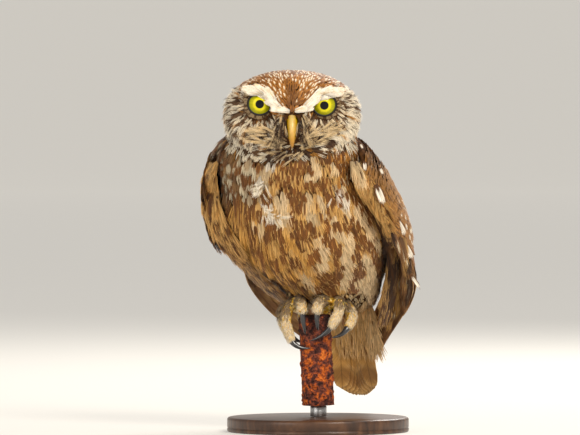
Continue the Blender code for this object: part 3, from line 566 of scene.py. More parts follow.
def head_way(h):
    """The lie of the feathers at a point of the head's own frame."""
    x, y, z = h
    side = 1.0 if x >= 0 else -1.0
    crown = Vector((x, y + 32, z - 5)).normalized()
    spokes = Vector((x - side * EYE_SIDEWAYS, (y + 24) * 0.6, z - EYE_HIGH)).normalized()
    lores = Vector((side * 0.42, -0.25, -1.0)).normalized()
    nape = Vector((side * 0.12, 0.75, -1.0)).normalized()
    near_bill = math.exp(-max(0.0, (abs(x) - 3) / 5.0) ** 2) * (1.0 if z < 9 else 0.0)
    gape = Vector((x, 0.0, z + 13)).normalized()
    facing = spokes.lerp(lores, near_bill)
    facing = facing.lerp(gape, float(ramp(-z, 1, 8) * (1 - ramp(abs(x), 15, 25))))
    above = float(ramp(z - brow_line(x), -0.8, 1.6))
    behind = float(ramp(y, -14.0, -4.0))
    way = facing.lerp(nape, behind * 0.8)
    return way.lerp(crown, max(above, 0.0 if z < 6 else behind))


def lie_of(points, normals):
    """The lie at each root, flat on the skin, with its share of head and its place on an unwrap."""
    ways, heads, unwraps = [], [], []
    for p, n in zip(points, normals):
        near, index, _ = nearest.find(p)
        h = Vector(head_frame.T @ (p - np.array(HEAD_CENTRE)))
        inside = math.sqrt((h.x / 38.2) ** 2 + (h.y / 30.0) ** 2 + (h.z / 26.0) ** 2)
        share = float(ramp(h.z, -25.5, -20.0)) if inside < 1.12 else 0.0
        way = lie_ways[index].lerp(HEAD_TURN @ head_way(h), share)
        normal = Vector(n)
        way = (way - normal * way.dot(normal)).normalized()
        ways.append(way)
        heads.append(share)
        if share > 0.5:
            unwraps.append((0.5 + math.atan2(h.x, -h.y) / (2.1 * math.pi),
                0.5 + math.atan2(h.z, math.hypot(h.x, h.y)) / 3.3))
        else:
            unwraps.append((0.02 + 0.96 * lie_uv[index][0], 0.02 + 0.96 * lie_uv[index][1]))
    return np.array(ways), np.array(heads), np.array(unwraps)


print("lie samples:", len(lie_points))

# %% [markdown]
# ## Where the feathers are rooted
# On a bird the roots stand in even rows. Points thrown at random would leave bald spots and clumps, and a
# strict grid would show as one. Geometry Nodes' Poisson disk keeps every root at least a set distance from
# the next, which looks like growth. The tree below has that distance as an input, so one tree serves the
# small feathers of the face and the large ones of the breast.

# %% Geometry Nodes tree that places roots
def group_input(tree, name, kind, value=None):
    """A named input of a tree."""
    socket = tree.interface.new_socket(name, in_out="INPUT", socket_type=kind)
    if value is not None:
        socket.default_value = value
    return socket.identifier


roots_tree = bpy.data.node_groups.new("feather_roots", "GeometryNodeTree")
ROOTS_IN = {
    "Skin": group_input(roots_tree, "Skin", "NodeSocketGeometry"),
    "Spacing": group_input(roots_tree, "Spacing", "NodeSocketFloat", 0.002),
    "Seed": group_input(roots_tree, "Seed", "NodeSocketInt", 1),
}
roots_tree.interface.new_socket("Roots", in_out="OUTPUT", socket_type="NodeSocketGeometry")
given = roots_tree.nodes.new("NodeGroupInput")
spread = roots_tree.nodes.new("GeometryNodeDistributePointsOnFaces")
spread.distribute_method = "POISSON"
roots_tree.links.new(given.outputs["Skin"], spread.inputs["Mesh"])
roots_tree.links.new(given.outputs["Spacing"], spread.inputs["Distance Min"])
roots_tree.links.new(given.outputs["Seed"], spread.inputs["Seed"])
closest = maths(roots_tree, "POWER", given.outputs["Spacing"], 2.0)
dense = maths(roots_tree, "DIVIDE", 1.6, closest)
roots_tree.links.new(dense, spread.inputs["Density Max"])
kept = add(roots_tree, "GeometryNodeStoreNamedAttribute",
           {"Geometry": spread.outputs["Points"], "Name": "out", "Value": spread.outputs["Normal"]},
           data_type="FLOAT_VECTOR", domain="POINT")
corners = add(roots_tree, "GeometryNodePointsToVertices", {"Points": kept})
add(roots_tree, "NodeGroupOutput", {"Roots": corners})


def roots_on(surface, spacing, seed):
    """Points and outward directions, spread evenly over a surface at least that many millimetres apart."""
    copy = bpy.data.objects.new("roots", surface.data)
    bpy.context.scene.collection.objects.link(copy)
    grow = copy.modifiers.new("roots", "NODES")
    grow.node_group = roots_tree
    grow[ROOTS_IN["Spacing"]] = spacing * MM
    grow[ROOTS_IN["Seed"]] = seed
    graph = bpy.context.evaluated_depsgraph_get()
    mesh = bpy.data.meshes.new_from_object(copy.evaluated_get(graph))
    bpy.data.objects.remove(copy)
    count = len(mesh.vertices)
    where, out = np.empty(count * 3), np.empty(count * 3)
    mesh.vertices.foreach_get("co", where)
    mesh.attributes["out"].data.foreach_get("vector", out)
    bpy.data.meshes.remove(mesh)
    return where.reshape(-1, 3) / MM, out.reshape(-1, 3)


print("roots tree has", len(roots_tree.nodes), "nodes")

# %% [markdown]
# ## One feather, many times
# A body feather has a shaft and a fan of barbs that lie side by side and part near the tip. Hair strands
# would give the softness but not the shape of a feather, and a flat leaf would look like a fish scale. So
# a tuft here is a small fan of barbs, each a narrow strip that leaves the shaft and runs to the rounded
# tip. Every tuft keeps three numbers on its points: how far across and along the feather a point is, and
# a random number for its barb, which the material uses for its markings and fine shading.


# %% Tuft meshes
TUFT_START = 0.12


def tuft(name, barbs, steps, seed, loose=0.0, fan=1.0, thick=1.5):
    """A fan of barbs one unit long and one wide, that lies along y with z outwards."""
    chance = random.Random(seed)
    points, faces, across, down, barb = [], [], [], [], []
    order = [(2 * (i + 0.5) / barbs - 1) for i in range(barbs)]
    for number, a in enumerate(order):
        tint = chance.random()
        reach = 1 - 0.22 * abs(a) ** 2.2 + chance.uniform(-0.07, 0.05) - loose * chance.random() * 0.2
        sway, lift = loose * chance.uniform(-0.25, 0.25), loose * chance.uniform(-0.02, 0.16)
        stack = 0.012 * (number % 3)
        for i in range(steps + 1):
            t = TUFT_START + (1 - TUFT_START) * i / steps
            open_up = 0.16 + 0.84 * (1 - (1 - t) ** 1.8)
            x = 0.5 * a * open_up * fan + sway * t * t
            y = reach * t
            z = 0.17 * math.sin(math.pi * min(1.0, t * 0.78)) - 0.07 * t * t - 0.1 * a * a * t + lift * t * t + stack
            half = 0.5 * thick / barbs * (0.55 + 0.75 * math.sin(math.pi * min(1.0, t * 0.9))) * (1 - 0.72 * t**3)
            points += [(x - half, y, z), (x + half, y, z)]
            across += [2 * (x - half), 2 * (x + half)]
            down += [y, y]
            barb += [tint, tint]
            if i:
                b = len(points)
                faces.append((b - 4, b - 3, b - 1, b - 2))
    mesh = bpy.data.meshes.new(name)
    mesh.from_pydata(points, [], faces)
    mesh.shade_smooth()
    for key, values in (("across", across), ("along", down), ("barb", barb)):
        mesh.attributes.new(key, "FLOAT", "POINT").data.foreach_set("value", values)
    made = bpy.data.objects.new(name, mesh)
    bpy.context.scene.collection.objects.link(made)
    return made


def tuft_set(name, barbs, steps, loose=0.0, fan=1.0, thick=1.5):
    return [tuft(f"{name}_{seed}", barbs, steps, seed, loose, fan, thick) for seed in range(3)]


TUFTS = {
    "broad": tuft_set("broad", 15, 4, 0.2, 1.0, 1.35),
    "body": tuft_set("body", 12, 4, 0.4, 1.0, 1.25),
    "loose": tuft_set("loose", 11, 4, 0.75, 1.1, 1.1),
    "small": tuft_set("small", 7, 3, 0.15),
    "face": tuft_set("face", 4, 3, 0.6, 1.0, 0.75),
    "wisp": tuft_set("wisp", 3, 4, 0.9, 1.0, 0.38),
}
for kind, three in TUFTS.items():
    print(kind, "tuft:", 2 * len(three[0].data.polygons), "triangles")

# %% [markdown]
# ## The tree that grows the coat
# Placing seventeen thousand feathers one by one in a script would be slow, so Geometry Nodes does it: it sets
# one of three tufts on each root, with z along the skin's outward direction and y along the lie, turns it
# a little at random, and scales it to the size stored on the root. The tree ends by making the copies real,
# because the exported model can hold no instances, and gives each tuft a small patch on the coat's unwrap.

# %% Geometry Nodes tree that grows tufts
coat_tree = bpy.data.node_groups.new("coat", "GeometryNodeTree")
COAT_IN = {"Roots": group_input(coat_tree, "Roots", "NodeSocketGeometry")}
for letter in "ABC":
    COAT_IN["Tuft " + letter] = group_input(coat_tree, "Tuft " + letter, "NodeSocketObject")
COAT_IN["Uneven"] = group_input(coat_tree, "Uneven", "NodeSocketFloat", 0.15)
COAT_IN["Seed"] = group_input(coat_tree, "Seed", "NodeSocketInt", 1)
COAT_IN["Plumage"] = group_input(coat_tree, "Plumage", "NodeSocketMaterial")
coat_tree.interface.new_socket("Coat", in_out="OUTPUT", socket_type="NodeSocketGeometry")
given = coat_tree.nodes.new("NodeGroupInput")
hold = coat_tree.nodes.new("GeometryNodeJoinGeometry")
for letter in "ABC":
    one = add(coat_tree, "GeometryNodeObjectInfo",
              {"Object": given.outputs["Tuft " + letter], "As Instance": True},
              out="Geometry")
    coat_tree.links.new(one, hold.inputs[0])
stored = {key: add(coat_tree, "GeometryNodeInputNamedAttribute", {"Name": key}, data_type=kind)
          for key, kind in (("out", "FLOAT_VECTOR"), ("lie", "FLOAT_VECTOR"), ("size", "FLOAT_VECTOR"),
                            ("root_uv", "FLOAT_VECTOR"), ("across", "FLOAT"), ("along", "FLOAT"))}
rest = add(coat_tree, "FunctionNodeAxesToRotation",
           {"Primary Axis": stored["out"], "Secondary Axis": stored["lie"]},
           primary_axis="Z", secondary_axis="Y")
most = add(coat_tree, "ShaderNodeCombineXYZ",
           {0: maths(coat_tree, "MULTIPLY", given.outputs["Uneven"], 0.4),
            1: given.outputs["Uneven"], 2: given.outputs["Uneven"]})
least = lit(coat_tree, most, -1.0)
wobble = add(coat_tree, "FunctionNodeRandomValue", {0: least, 1: most, "Seed": given.outputs["Seed"]},
             data_type="FLOAT_VECTOR")
wobble = add(coat_tree, "FunctionNodeEulerToRotation", {0: wobble})
turned = add(coat_tree, "FunctionNodeRotateRotation", {"Rotation": rest, "Rotate By": wobble},
    rotation_space="LOCAL")
pick = add(coat_tree, "FunctionNodeRandomValue", {4: 0, 5: 2, "Seed": given.outputs["Seed"]}, out=2,
    data_type="INT")
grown = add(coat_tree, "GeometryNodeInstanceOnPoints",
            {"Points": given.outputs["Roots"], "Instance": hold.outputs[0], "Pick Instance": True,
             "Instance Index": pick, "Rotation": turned, "Scale": stored["size"]})
real = add(coat_tree, "GeometryNodeRealizeInstances", {0: grown})
patch = add(coat_tree, "ShaderNodeCombineXYZ", {0: stored["across"], 1: stored["along"]})
patch = lit(coat_tree, patch, 0.0015)
patch = add(coat_tree, "ShaderNodeVectorMath", {0: patch, 1: stored["root_uv"]}, operation="ADD")
mapped = add(coat_tree, "GeometryNodeStoreNamedAttribute",
             {"Geometry": real, "Name": "OFBake", "Value": patch},
             data_type="FLOAT2", domain="CORNER")
painted = add(coat_tree, "GeometryNodeSetMaterial",
    {"Geometry": mapped, "Material": given.outputs["Plumage"]})
add(coat_tree, "NodeGroupOutput", {"Coat": painted})


def grow_coat(name, slot, kind, data, seed, uneven):
    """Grows one piece of tufts from roots, where data holds an array for each thing stored on a root."""
    mesh = bpy.data.meshes.new(name + "_roots")
    mesh.from_pydata((data["at"] * MM).tolist(), [], [])
    for key in ("out", "lie", "size", "root_uv", "spot"):
        mesh.attributes.new(key, "FLOAT_VECTOR", "POINT").data.foreach_set("vector", data[key].ravel())
    for key in ("base", "mark"):
        mesh.attributes.new(key, "FLOAT_COLOR", "POINT").data.foreach_set("color", data[key].ravel())
    holder = bpy.data.objects.new(name + "_roots", mesh)
    bpy.context.scene.collection.objects.link(holder)
    grow = holder.modifiers.new("coat", "NODES")
    grow.node_group = coat_tree
    for letter, one in zip("ABC", TUFTS[kind]):
        grow[COAT_IN["Tuft " + letter]] = one
    grow[COAT_IN["Seed"]] = seed
    grow[COAT_IN["Uneven"]] = uneven
    grow[COAT_IN["Plumage"]] = feather
    coat = baked(holder, name)
    for key in ("out", "lie", "size", "root_uv"):
        coat.data.attributes.remove(coat.data.attributes[key])
    finish_piece(coat, slot)


print("coat tree has", len(coat_tree.nodes), "nodes")

# %% [markdown]
# ## The eyes
# An owl's eye is a clear hard dome over a coloured iris with a black pupil. The little owl's iris is pale
# yellow-green, brighter in a ring round the pupil, with a dark rim and the finest rays. A glass dome over
# a separate iris would be nearest to life, but at this size it is simpler and as bright to give one smooth
# ball a clear wet coat, and to draw the iris on it by the angle from the eye's axis, which the ball keeps
# in its UV map.

# %% Eyes
EYE_OUTWARD = math.radians(0.8)
EYE_LIFT = {1: 0.0, -1: math.radians(5.0)}
PUPIL, IRIS = 15.5, 44.0

# Living eye: wet and very smooth, so it mirrors the lights in small sharp points
iris_wet, tree = new_material("wet_iris")
angles = add(tree, "ShaderNodeUVMap", uv_map="eye_angles")
parts = apart(tree, angles)
from_axis = maths(tree, "MULTIPLY", parts[0], 180.0)
place = add(tree, "ShaderNodeCombineXYZ", {0: maths(tree, "MULTIPLY", from_axis, 0.03),
                                           1: maths(tree, "MULTIPLY", parts[1], 40.0)})
rays = add(tree, "ShaderNodeTexNoise", {"Vector": place, "Scale": 1.6, "Detail": 4.0})
tone = remap(tree, from_axis, 0.0, 90.0)
tone = add(tree, "ShaderNodeValToRGB", {"Fac": tone}, stops=[
    (PUPIL / 90 - 0.008, "#07070a"), (PUPIL / 90 + 0.008, "#e0d41a"), (0.27, "#d8cc12"), (0.31, "#b4ad0c"),
    (0.45, "#9c9c0c"),
    (IRIS / 90 - 0.01, "#6f760c"), (IRIS / 90 + 0.02, "#0b0906")])
light = remap(tree, rays, 0.3, 0.7, 0.82, 1.18)
tone = lit(tree, tone, light)
surface(tree, {"Base Color": tone, "Roughness": 0.5, "Specular IOR Level": 0.1, "Coat Weight": 0.55,
    "Coat Roughness": 0.02, "Coat IOR": 1.33})


def eye_points(side, turn, swing, radius):
    """Points on a ball about an eye, for angles from its axis and round it."""
    turn, swing, radius = np.broadcast_arrays(turn, swing, radius)
    local = np.stack([np.sin(turn) * np.cos(swing), -np.cos(turn), np.sin(turn) * np.sin(swing)],
        -1) * radius[..., None]
    gaze = Matrix.Rotation(side * EYE_OUTWARD, 3, "Z") @ Matrix.Rotation(-EYE_LIFT[side], 3, "X")
    local = world(local, gaze, (side * EYE_SIDEWAYS, EYE_FORWARD, EYE_HIGH))
    return world(local, HEAD_TURN, HEAD_CENTRE)


for name, side in (("left", 1), ("right", -1)):
    rows, sides = 56, 72
    turn = np.radians(np.concatenate([np.linspace(0.6, 60, 40), np.linspace(64, 179, 16)]))[:, None]
    swing = np.linspace(0, 2 * math.pi, sides, endpoint=False)[None, :]
    dome = EYE_RADIUS + 0.28 * np.exp(-(turn / math.radians(33)) ** 4)
    points = eye_points(side, turn, swing, dome).reshape(-1, 3)
    faces = [(r * sides + k, r * sides + (k + 1) % sides, (r + 1) * sides + (k + 1) % sides, (r + 1) * sides + k)
             for r in range(rows - 1) for k in range(sides)]
    points = np.concatenate([points, eye_points(side, 0.0, 0.0, EYE_RADIUS + 0.28)[None],
        eye_points(side, math.pi, 0.0, EYE_RADIUS)[None]])
    faces += [(k, rows * sides, (k + 1) % sides) for k in range(sides)]
    faces += [((rows - 1) * sides + k, (rows - 1) * sides + (k + 1) % sides, rows * sides + 1)
        for k in range(sides)]
    ball = outward(build(f"eyeball_{name}", points, faces, iris_wet))
    angles_map = ball.data.uv_layers.new(name="eye_angles")
    axis = eye_points(side, 0.0, 0.0, 1.0) - eye_points(side, 0.0, 0.0, 0.0)
    across = eye_points(side, math.pi / 2, 0.0, 1.0) - eye_points(side, 0.0, 0.0, 0.0)
    up = np.cross(axis, across)
    centre = eye_points(side, 0.0, 0.0, 0.0)
    at, _ = corners_of(ball.data)
    ray = (at - centre) / np.linalg.norm(at - centre, axis=1)[:, None]
    turns = np.arccos(np.clip(ray @ axis, -1, 1)) / math.pi
    swings = np.arctan2(ray @ up, ray @ across) / (2 * math.pi) + 0.5
    corner = np.empty(len(ball.data.loops), int)
    ball.data.loops.foreach_get("vertex_index", corner)
    angles_map.data.foreach_set("uv", np.stack([turns[corner], swings[corner]], -1).ravel())
    finish_piece(ball, "eye_iris", f"eye_{name}")


def lid_opening(side, swing):
    """The angle from the eye's axis at which the lid's edge stands, smaller above where the brow presses."""
    above = np.maximum(0.0, np.sin(swing - side * 0.35)) ** 1.5
    below = np.maximum(0.0, -np.sin(swing)) ** 2
    return np.radians(44.0 - 17.0 * above - 4.5 * below)


# %% [markdown]
# ## The eyelids
# The lids are bare black skin, and they are what draws the dark line round the yellow. The upper one hangs
# lower, cut across by the brow, and gives the frown. Each pair is one ring with a rounded edge that lies
# on the ball.

# %% Eyelids
# Bare lid skin: near black, finely creased, slightly moist
lid_skin, tree = new_material("dark_lid_skin")
place = add(tree, "ShaderNodeTexCoord", out="Object")
creases = add(tree, "ShaderNodeTexNoise", {"Vector": place, "Scale": 1500.0, "Detail": 3.0})
tone = add(tree, "ShaderNodeValToRGB", {"Fac": creases}, stops=[(0.3, "#0b0807"), (0.7, "#1c1512")])
dip = add(tree, "ShaderNodeBump", {"Height": creases, "Strength": 0.4, "Distance": 0.0002})
surface(tree, {"Base Color": tone, "Roughness": 0.55, "Normal": dip})

for name, side in (("left", 1), ("right", -1)):
    sides = 96
    swing = np.linspace(0, 2 * math.pi, sides, endpoint=False)[:, None]
    step = np.array([0.0, 0.0, 0.008, 0.022, 0.05, 0.09, 0.16, 0.62])[None, :]
    high = np.array([-0.35, 0.12, 0.42, 0.58, 0.62, 0.5, 0.1, -0.5])[None, :]
    points = eye_points(side, lid_opening(side, swing) + step, swing + 0 * step,
        EYE_RADIUS + high + 0 * swing).reshape(-1, 3)
    wide = step.shape[1]
    faces = [(r * wide + k, r * wide + (k + 1) % wide, ((r + 1) % sides) * wide + (k + 1) % wide,
        ((r + 1) % sides) * wide + k)
             for r in range(sides) for k in range(wide)]
    finish_piece(outward(build(f"eyelids_{name}", points, faces, lid_skin)), "plumage_face")

# %% [markdown]
# ## The bill
# The hooked bill is horn, like a thin fingernail over bone: yellow, deeper on its sides and amber towards the
# tip, with a pale band along its ridge that is a painted highlight. The shape is lofted from the same sections
# as the solid, with four times as many, so the ridge and the hook are smooth.

# %% Bill
BILL_RINGS, BILL_SIDES = 44, 40
PROFILE = [(0, 0), (0.55, 0.10), (0.95, 0.42), (1.0, 0.8), (0.8, 1.0), (0, 0.94), (-0.8, 1.0), (-1.0, 0.8),
    (-0.95, 0.42), (-0.55, 0.10)]


def round_profile(rows, sides):
    """A closed outline through a few corners, with many sides."""
    closed = rows + rows[:3]
    made = []
    for k in range(sides):
        at = len(rows) * k / sides
        low, t = int(at), at - int(at)
        a, b, c, d = (closed[(low + j - 1) % len(rows)] for j in range(4))
        made.append([0.5 * (2 * q + (r - p) * t + (2 * p - 5 * q + 4 * r - s) * t * t + (3 * q - p - 3 * r + s) * t**3)
                     for p, q, r, s in zip(a, b, c, d)])
    return made


def loft_rings(name, rings, finish):
    """A closed skin over rings of equal length."""
    sides = len(rings[0])
    points = [p for ring in rings for p in ring]
    faces = [(r * sides + k, r * sides + (k + 1) % sides, (r + 1) * sides + (k + 1) % sides, (r + 1) * sides + k)
             for r in range(len(rings) - 1) for k in range(sides)]
    for row in (0, len(rings) - 1):
        middle = len(points)
        points.append(sum((Vector(p) for p in rings[row]), Vector()) / sides)
        faces += [(row * sides + k, row * sides + (k + 1) % sides, middle) for k in range(sides)]
    return outward(build(name, points, faces, finish))


rings = []
for i in range(BILL_RINGS):
    t = i / (BILL_RINGS - 1)
    ridge_y = -24.0 - 12.4 * math.sin(min(1.0, t * 1.2) * math.pi * 0.5) + 1.6 * t**4
    ridge_z = 5.4 - 1.6 * t - 17.4 * t**2.1
    half = 4.6 * (1 - t) ** 0.62 * (1 - 0.18 * math.sin(math.pi * t)) + 0.3
    deep = 10.5 * (1 - t) ** 0.65 + 0.6
    slope = math.atan2(14.0 * math.cos(min(1.0, t * 1.15) * math.pi * 0.5), 4.0 + 26.0 * t)
    inward = Vector((0, math.cos(slope - math.pi / 2 + 0.25) * 0.5 + 0.5, -math.sin(slope) * 0.85)).normalized()
    ring = []
    for x, d in round_profile(PROFILE, BILL_SIDES):
        pit = 0.0
        for nostril in (-1, 1):
            near = math.hypot((t - 0.30) / 0.05, (d - 0.3) / 0.13)
            if x * nostril > 0:
                pit = max(pit, math.exp(-near * near) * 0.9)
        x_here = x * half - math.copysign(pit, x) if abs(x) > 0.3 else x * half
        ring.append(head_point(x_here, ridge_y + inward.y * deep * d, ridge_z + inward.z * deep * d))
    rings.append(ring)

# Bill horn: keratin, half clear, yellow with a painted pale highlight along the ridge and an amber tip, smooth but not
# polished
horn, tree = new_material("yellow_horn")
place = add(tree, "ShaderNodeTexCoord", out="Object")
centred = add(tree, "ShaderNodeMapping",
    {"Vector": place, "Location": tuple(-c * MM for c in head_point(0, -30, -4))})
parts = apart(tree, centred)
down_bill = remap(tree, parts[2], 0.010, -0.0105)
tone = add(tree, "ShaderNodeValToRGB", {"Fac": down_bill}, stops=[(0.0, "#a47c10"), (0.22, "#d0a406"),
    (0.6, "#ca9602"), (0.86, "#b07602"), (1.0, "#7c4e08")])
off = maths(tree, "ABSOLUTE", parts[0])
# Painted highlight: a pale band along the ridge, fading out towards the tip
ridge = remap(tree, off, 0.0003, 0.0022, 0.32, 0.0)
fade = remap(tree, down_bill, 0.75, 0.4, 0.1, 1.0)
ridge = maths(tree, "MULTIPLY", ridge, fade)
tone = mix(tree, ridge, tone, colour("#f3ecc0"))
mottle = add(tree, "ShaderNodeTexNoise", {"Vector": place, "Scale": 700.0, "Detail": 4.0})
light = remap(tree, mottle, 0.3, 0.7, 0.86, 1.08)
tone = lit(tree, tone, light)
dip = add(tree, "ShaderNodeBump", {"Height": mottle, "Strength": 0.12, "Distance": 0.0002})
surface(tree, {"Base Color": tone, "Roughness": 0.34, "Normal": dip, "IOR": 1.54, "Subsurface Weight": 0.12,
    "Subsurface Scale": 0.001})
finish_piece(loft_rings("bill_ridge_and_hook", rings, horn), "bill_horn", "bill_upper")

rings = []
for i in range(16):
    t = i / 15
    half, deep = 2.88 * (1 - t) ** 0.6 + 0.4, 3.4 - 2.0 * t
    y, z = -24.0 - 8.2 * t, 5.4 - 10.4 - 5.2 * t
    outline = round_profile([(-1, 0), (0, -0.12), (1, 0), (0.8, 0.75), (0, 1.0), (-0.8, 0.75)], 24)
    rings.append([head_point(x * half, y + deep * d * 0.5, z - deep * d) for x, d in outline])
finish_piece(loft_rings("bill_underside", rings, horn), "bill_horn", "bill_lower")

# %% [markdown]
# ## What a feather is made of
# Feathers are keratin, the stuff of nails. Their colour is partly pigment and partly the way the barbs
# catch the light, so they are dull with a slight silky sheen, and each barb differs a little from the next.
# One material serves the whole coat. It takes a ground colour and a marking colour from the root, draws the
# marking as a soft-edged streak or spot between two places along the feather, gives each barb a brightness
# of its own, and paints shade on each feather towards its root, where it lies under the next.

# %% Material of body feathers
# Keratin barbs, matt with a faint silky sheen
feather, tree = new_material("feather_barbs")
stored = {key: add(tree, "ShaderNodeAttribute", out=out, attribute_name=key)
          for key, out in (("base", "Color"), ("mark", "Color"), ("across", "Fac"), ("along", "Fac"),
              ("barb", "Fac"))}
spot = add(tree, "ShaderNodeAttribute", out="Vector", attribute_name="spot")
wide, start, end = apart(tree, spot)
off = maths(tree, "ABSOLUTE", stored["across"])
side = maths(tree, "SUBTRACT", wide, off)
side = remap(tree, side, -0.10, 0.10)
jitter = maths(tree, "MULTIPLY_ADD", stored["barb"], 0.13, stored["along"])
after = maths(tree, "SUBTRACT", jitter, start)
after = remap(tree, after, 0.0, 0.12)
before = maths(tree, "SUBTRACT", end, jitter)
before = remap(tree, before, -0.12, 0.0)
inside = maths(tree, "MULTIPLY", side, after)
inside = maths(tree, "MULTIPLY", inside, before)
tone = mix(tree, inside, stored["base"], stored["mark"])
# Painted shade: each feather darker towards its root, where it lies under the next ones
depth = remap(tree, stored["along"], 0.1, 0.75, 0.55, 1.06)
lively = remap(tree, stored["barb"], first=0.72, last=1.22)
light = maths(tree, "MULTIPLY", depth, lively)
tone = lit(tree, tone, light)
surface(tree, {"Base Color": tone, "Roughness": 0.62, "Specular IOR Level": 0.3, "Sheen Weight": 0.15,
    "Sheen Roughness": 0.4})

# Bare skin and down deep in the coat: warm dark brown, partly their own colour and partly painted shade between the
# feathers, quite matt
down, tree = new_material("down_shadow")
place = add(tree, "ShaderNodeTexCoord", out="Object")
mottle = add(tree, "ShaderNodeTexNoise", {"Vector": place, "Scale": 420.0, "Detail": 4.0})
tone = add(tree, "ShaderNodeValToRGB", {"Fac": mottle}, stops=[(0.35, "#2c1a0e"), (0.65, "#5a3b20")])
surface(tree, {"Base Color": tone, "Roughness": 0.95, "Specular IOR Level": 0.1})
skin.data.materials.clear()
skin.data.materials.append(down)
finish_piece(skin, "plumage_brown", *FLESH)

TONES = {name: np.array(colour(code)) for name, code in {
    "black": "#20140a", "umber": "#502f10", "brown": "#7a4a1a", "rust": "#a96a2a", "orange": "#cb8a38",
    "gold": "#ca8f36", "buff": "#d2a25c", "sand": "#dcb678", "cream": "#e9d8b4", "white": "#f3ebdc",
    "grey": "#a8977c", "dusk": "#6f5a42",
}.items()}


def blend_tone(*parts):
    """A colour from tones and their shares, as a painter mixes them."""
    total = sum(share for _, share in parts)
    return sum(TONES[name] * share for name, share in parts) / total


def reach_of(column, row, path, half):
    """How much a place in the picture lies on a stroke, from 1 on it to 0 beside it."""
    best = 1e9
    for (ax, ay), (bx, by) in zip(path, path[1:]):
        dx, dy = bx - ax, by - ay
        t = min(1.0, max(0.0, ((column - ax) * dx + (row - ay) * dy) / (dx * dx + dy * dy)))
        best = min(best, math.hypot(column - ax - dx * t, row - ay - dy * t))
    return float(1 - ramp(best, 0.65 * half, 1.25 * half))


def blotch(p, seed, fine, long):
    """Noise between about -1 and 1 at a body point, drawn out along the body."""
    q = BODY_TURN.transposed() @ (Vector(p) - BODY_ORIGIN)
    down_body = q.y * 0.74 - q.z * 0.67
    depth = q.y * 0.67 + q.z * 0.74
    return noise.noise(Vector((q.x / fine + seed, depth / fine - seed, down_body / long)))


def coat_data(where, out, lie, unwrap, look):
    """Arrays for the coat from one look a root: its size, ground, marking and marked part."""
    data = {"at": [], "out": [], "lie": [], "size": [], "root_uv": [], "spot": [], "base": [], "mark": []}
    for i, p in enumerate(where):
        made = look(p, out[i], lie[i], i)
        if made is None:
            continue
        size, base, mark, spot_at = made
        data["at"].append(p)
        data["out"].append(out[i])
        data["lie"].append(lie[i])
        data["size"].append(np.array(size) * MM)
        data["root_uv"].append((*unwrap[i], 0.0))
        data["spot"].append(spot_at)
        data["base"].append(base)
        data["mark"].append(mark)
    return {key: np.array(values, dtype=float) for key, values in data.items()}


print("tones mixed for the plumage:", ", ".join(TONES))

# %% [markdown]
# ## The face and crown
# The little owl's look comes from its face: a flat crown the colour of rusty earth with cream dashes that
# fan back from the forehead, a white brow that runs down to the bill in a V and makes the bird frown, and a
# grey-cream disc of stiff feathers that stand like spokes round each eye. The head is the smallest-feathered
# part, so its tufts are only 1.5 to 2.5 mm wide. Each zone below is a stroke placed from the photograph.

# %% Zones of the head
BROWS = (
    [(291.2, 111.4), (281.4, 109.2), (275.4, 104.4), (270.2, 97.4), (262.5, 92.4), (252.6, 90.2)],
    [(293.4, 111.2), (303.2, 108.6), (309.4, 103.4), (315.8, 97.6), (324.0, 94.0), (333.0, 92.4)],
)
BROW_HALVES = (1.6, 2.6, 3.4, 4.2, 3.8, 2.0)
PALE_BANDS = ([(228, 124), (232, 134), (241, 144), (251, 151)],
    [(363, 121), (350, 127), (337, 131), (322, 139), (312, 147)])
DARK_PATCHES = ([(262, 143), (273, 141), (283, 148)], [(300, 148), (313, 141), (327, 139)],
    [(276, 153), (291, 153), (304, 151)])
EYES_AT, BILL_COLUMN = ((260.2, 105.5), (324.0, 106.5)), 292
chance = random.Random(11)


def on_crown(h):
    """Which points of the head's frame carry crown feathers."""
    high = (h[:, 2] > np.maximum(4.0, brow_line(h[:, 0]))) & ((np.abs(h[:, 0]) < 27.5) | (h[:, 1] > 0))
    return high | ((h[:, 1] > 3) & (h[:, 2] > -4)) | (h[:, 1] > 6)


def crown_look(p, out, lie, i):
    column, row = CENTRE_COLUMN + p[0] / STEP, FLOOR_ROW - (p[2] - FLOOR_HIGH) / STEP
    h = head_frame.T @ (p - np.array(HEAD_CENTRE))
    facing = float(ramp(-h[1], 2.0, 10.0))
    luck, second, third = chance.random(), chance.random(), chance.random()
    dark = reach_of(column, row, [(292, 95), (293, 106)], 4.6) * facing
    forehead = reach_of(column, row, [(292, 88), (292, 104)], 10) * facing
    base = blend_tone(("rust", 1.0), ("orange", 1.3 * luck), ("brown", 0.5 * second + 2.2 * dark),
        ("umber", 2.5 * dark * luck))
    behind = float(ramp(h[1], 4, 20))
    edge = float(ramp(abs(h[0]), 27, 34))
    mark = blend_tone(("cream", 1), ("white", 0.8), ("sand", 0.6 * luck))
    spot_at = (0.3 + 0.1 * luck, 0.42, 0.98) if second < 0.6 - 0.5 * dark else (0.0, 0.5, 0.9)
    if forehead > 0.5 and luck < 0.45:
        mark, spot_at = blend_tone(("umber", 1), ("brown", 0.7)), (0.3, 0.3, 1.0)
    elif second > 0.82:
        mark, spot_at = blend_tone(("brown", 1)), (0.4, 0.3, 0.8)
    if behind > 0.5:
        base = blend_tone(("brown", 1.0), ("rust", 0.9 + 0.4 * luck))
        spot_at = (0.5, 0.5, 0.95) if second < 0.5 else (0.0, 0.5, 0.9)
        if h[2] < 2:
            base, spot_at = blend_tone(("brown", 1), ("buff", 0.9 * luck)), (
                0.75, 0.4, 1.0) if third < 0.45 else (0.0, 0.5, 0.9)
    if edge > third:
        base = blend_tone(("grey", 1), ("sand", 0.8), ("brown", 0.8 * luck))
    return (2.1 + 1.3 * behind, 5.4 + 2.0 * behind, 3.8), base, mark, spot_at


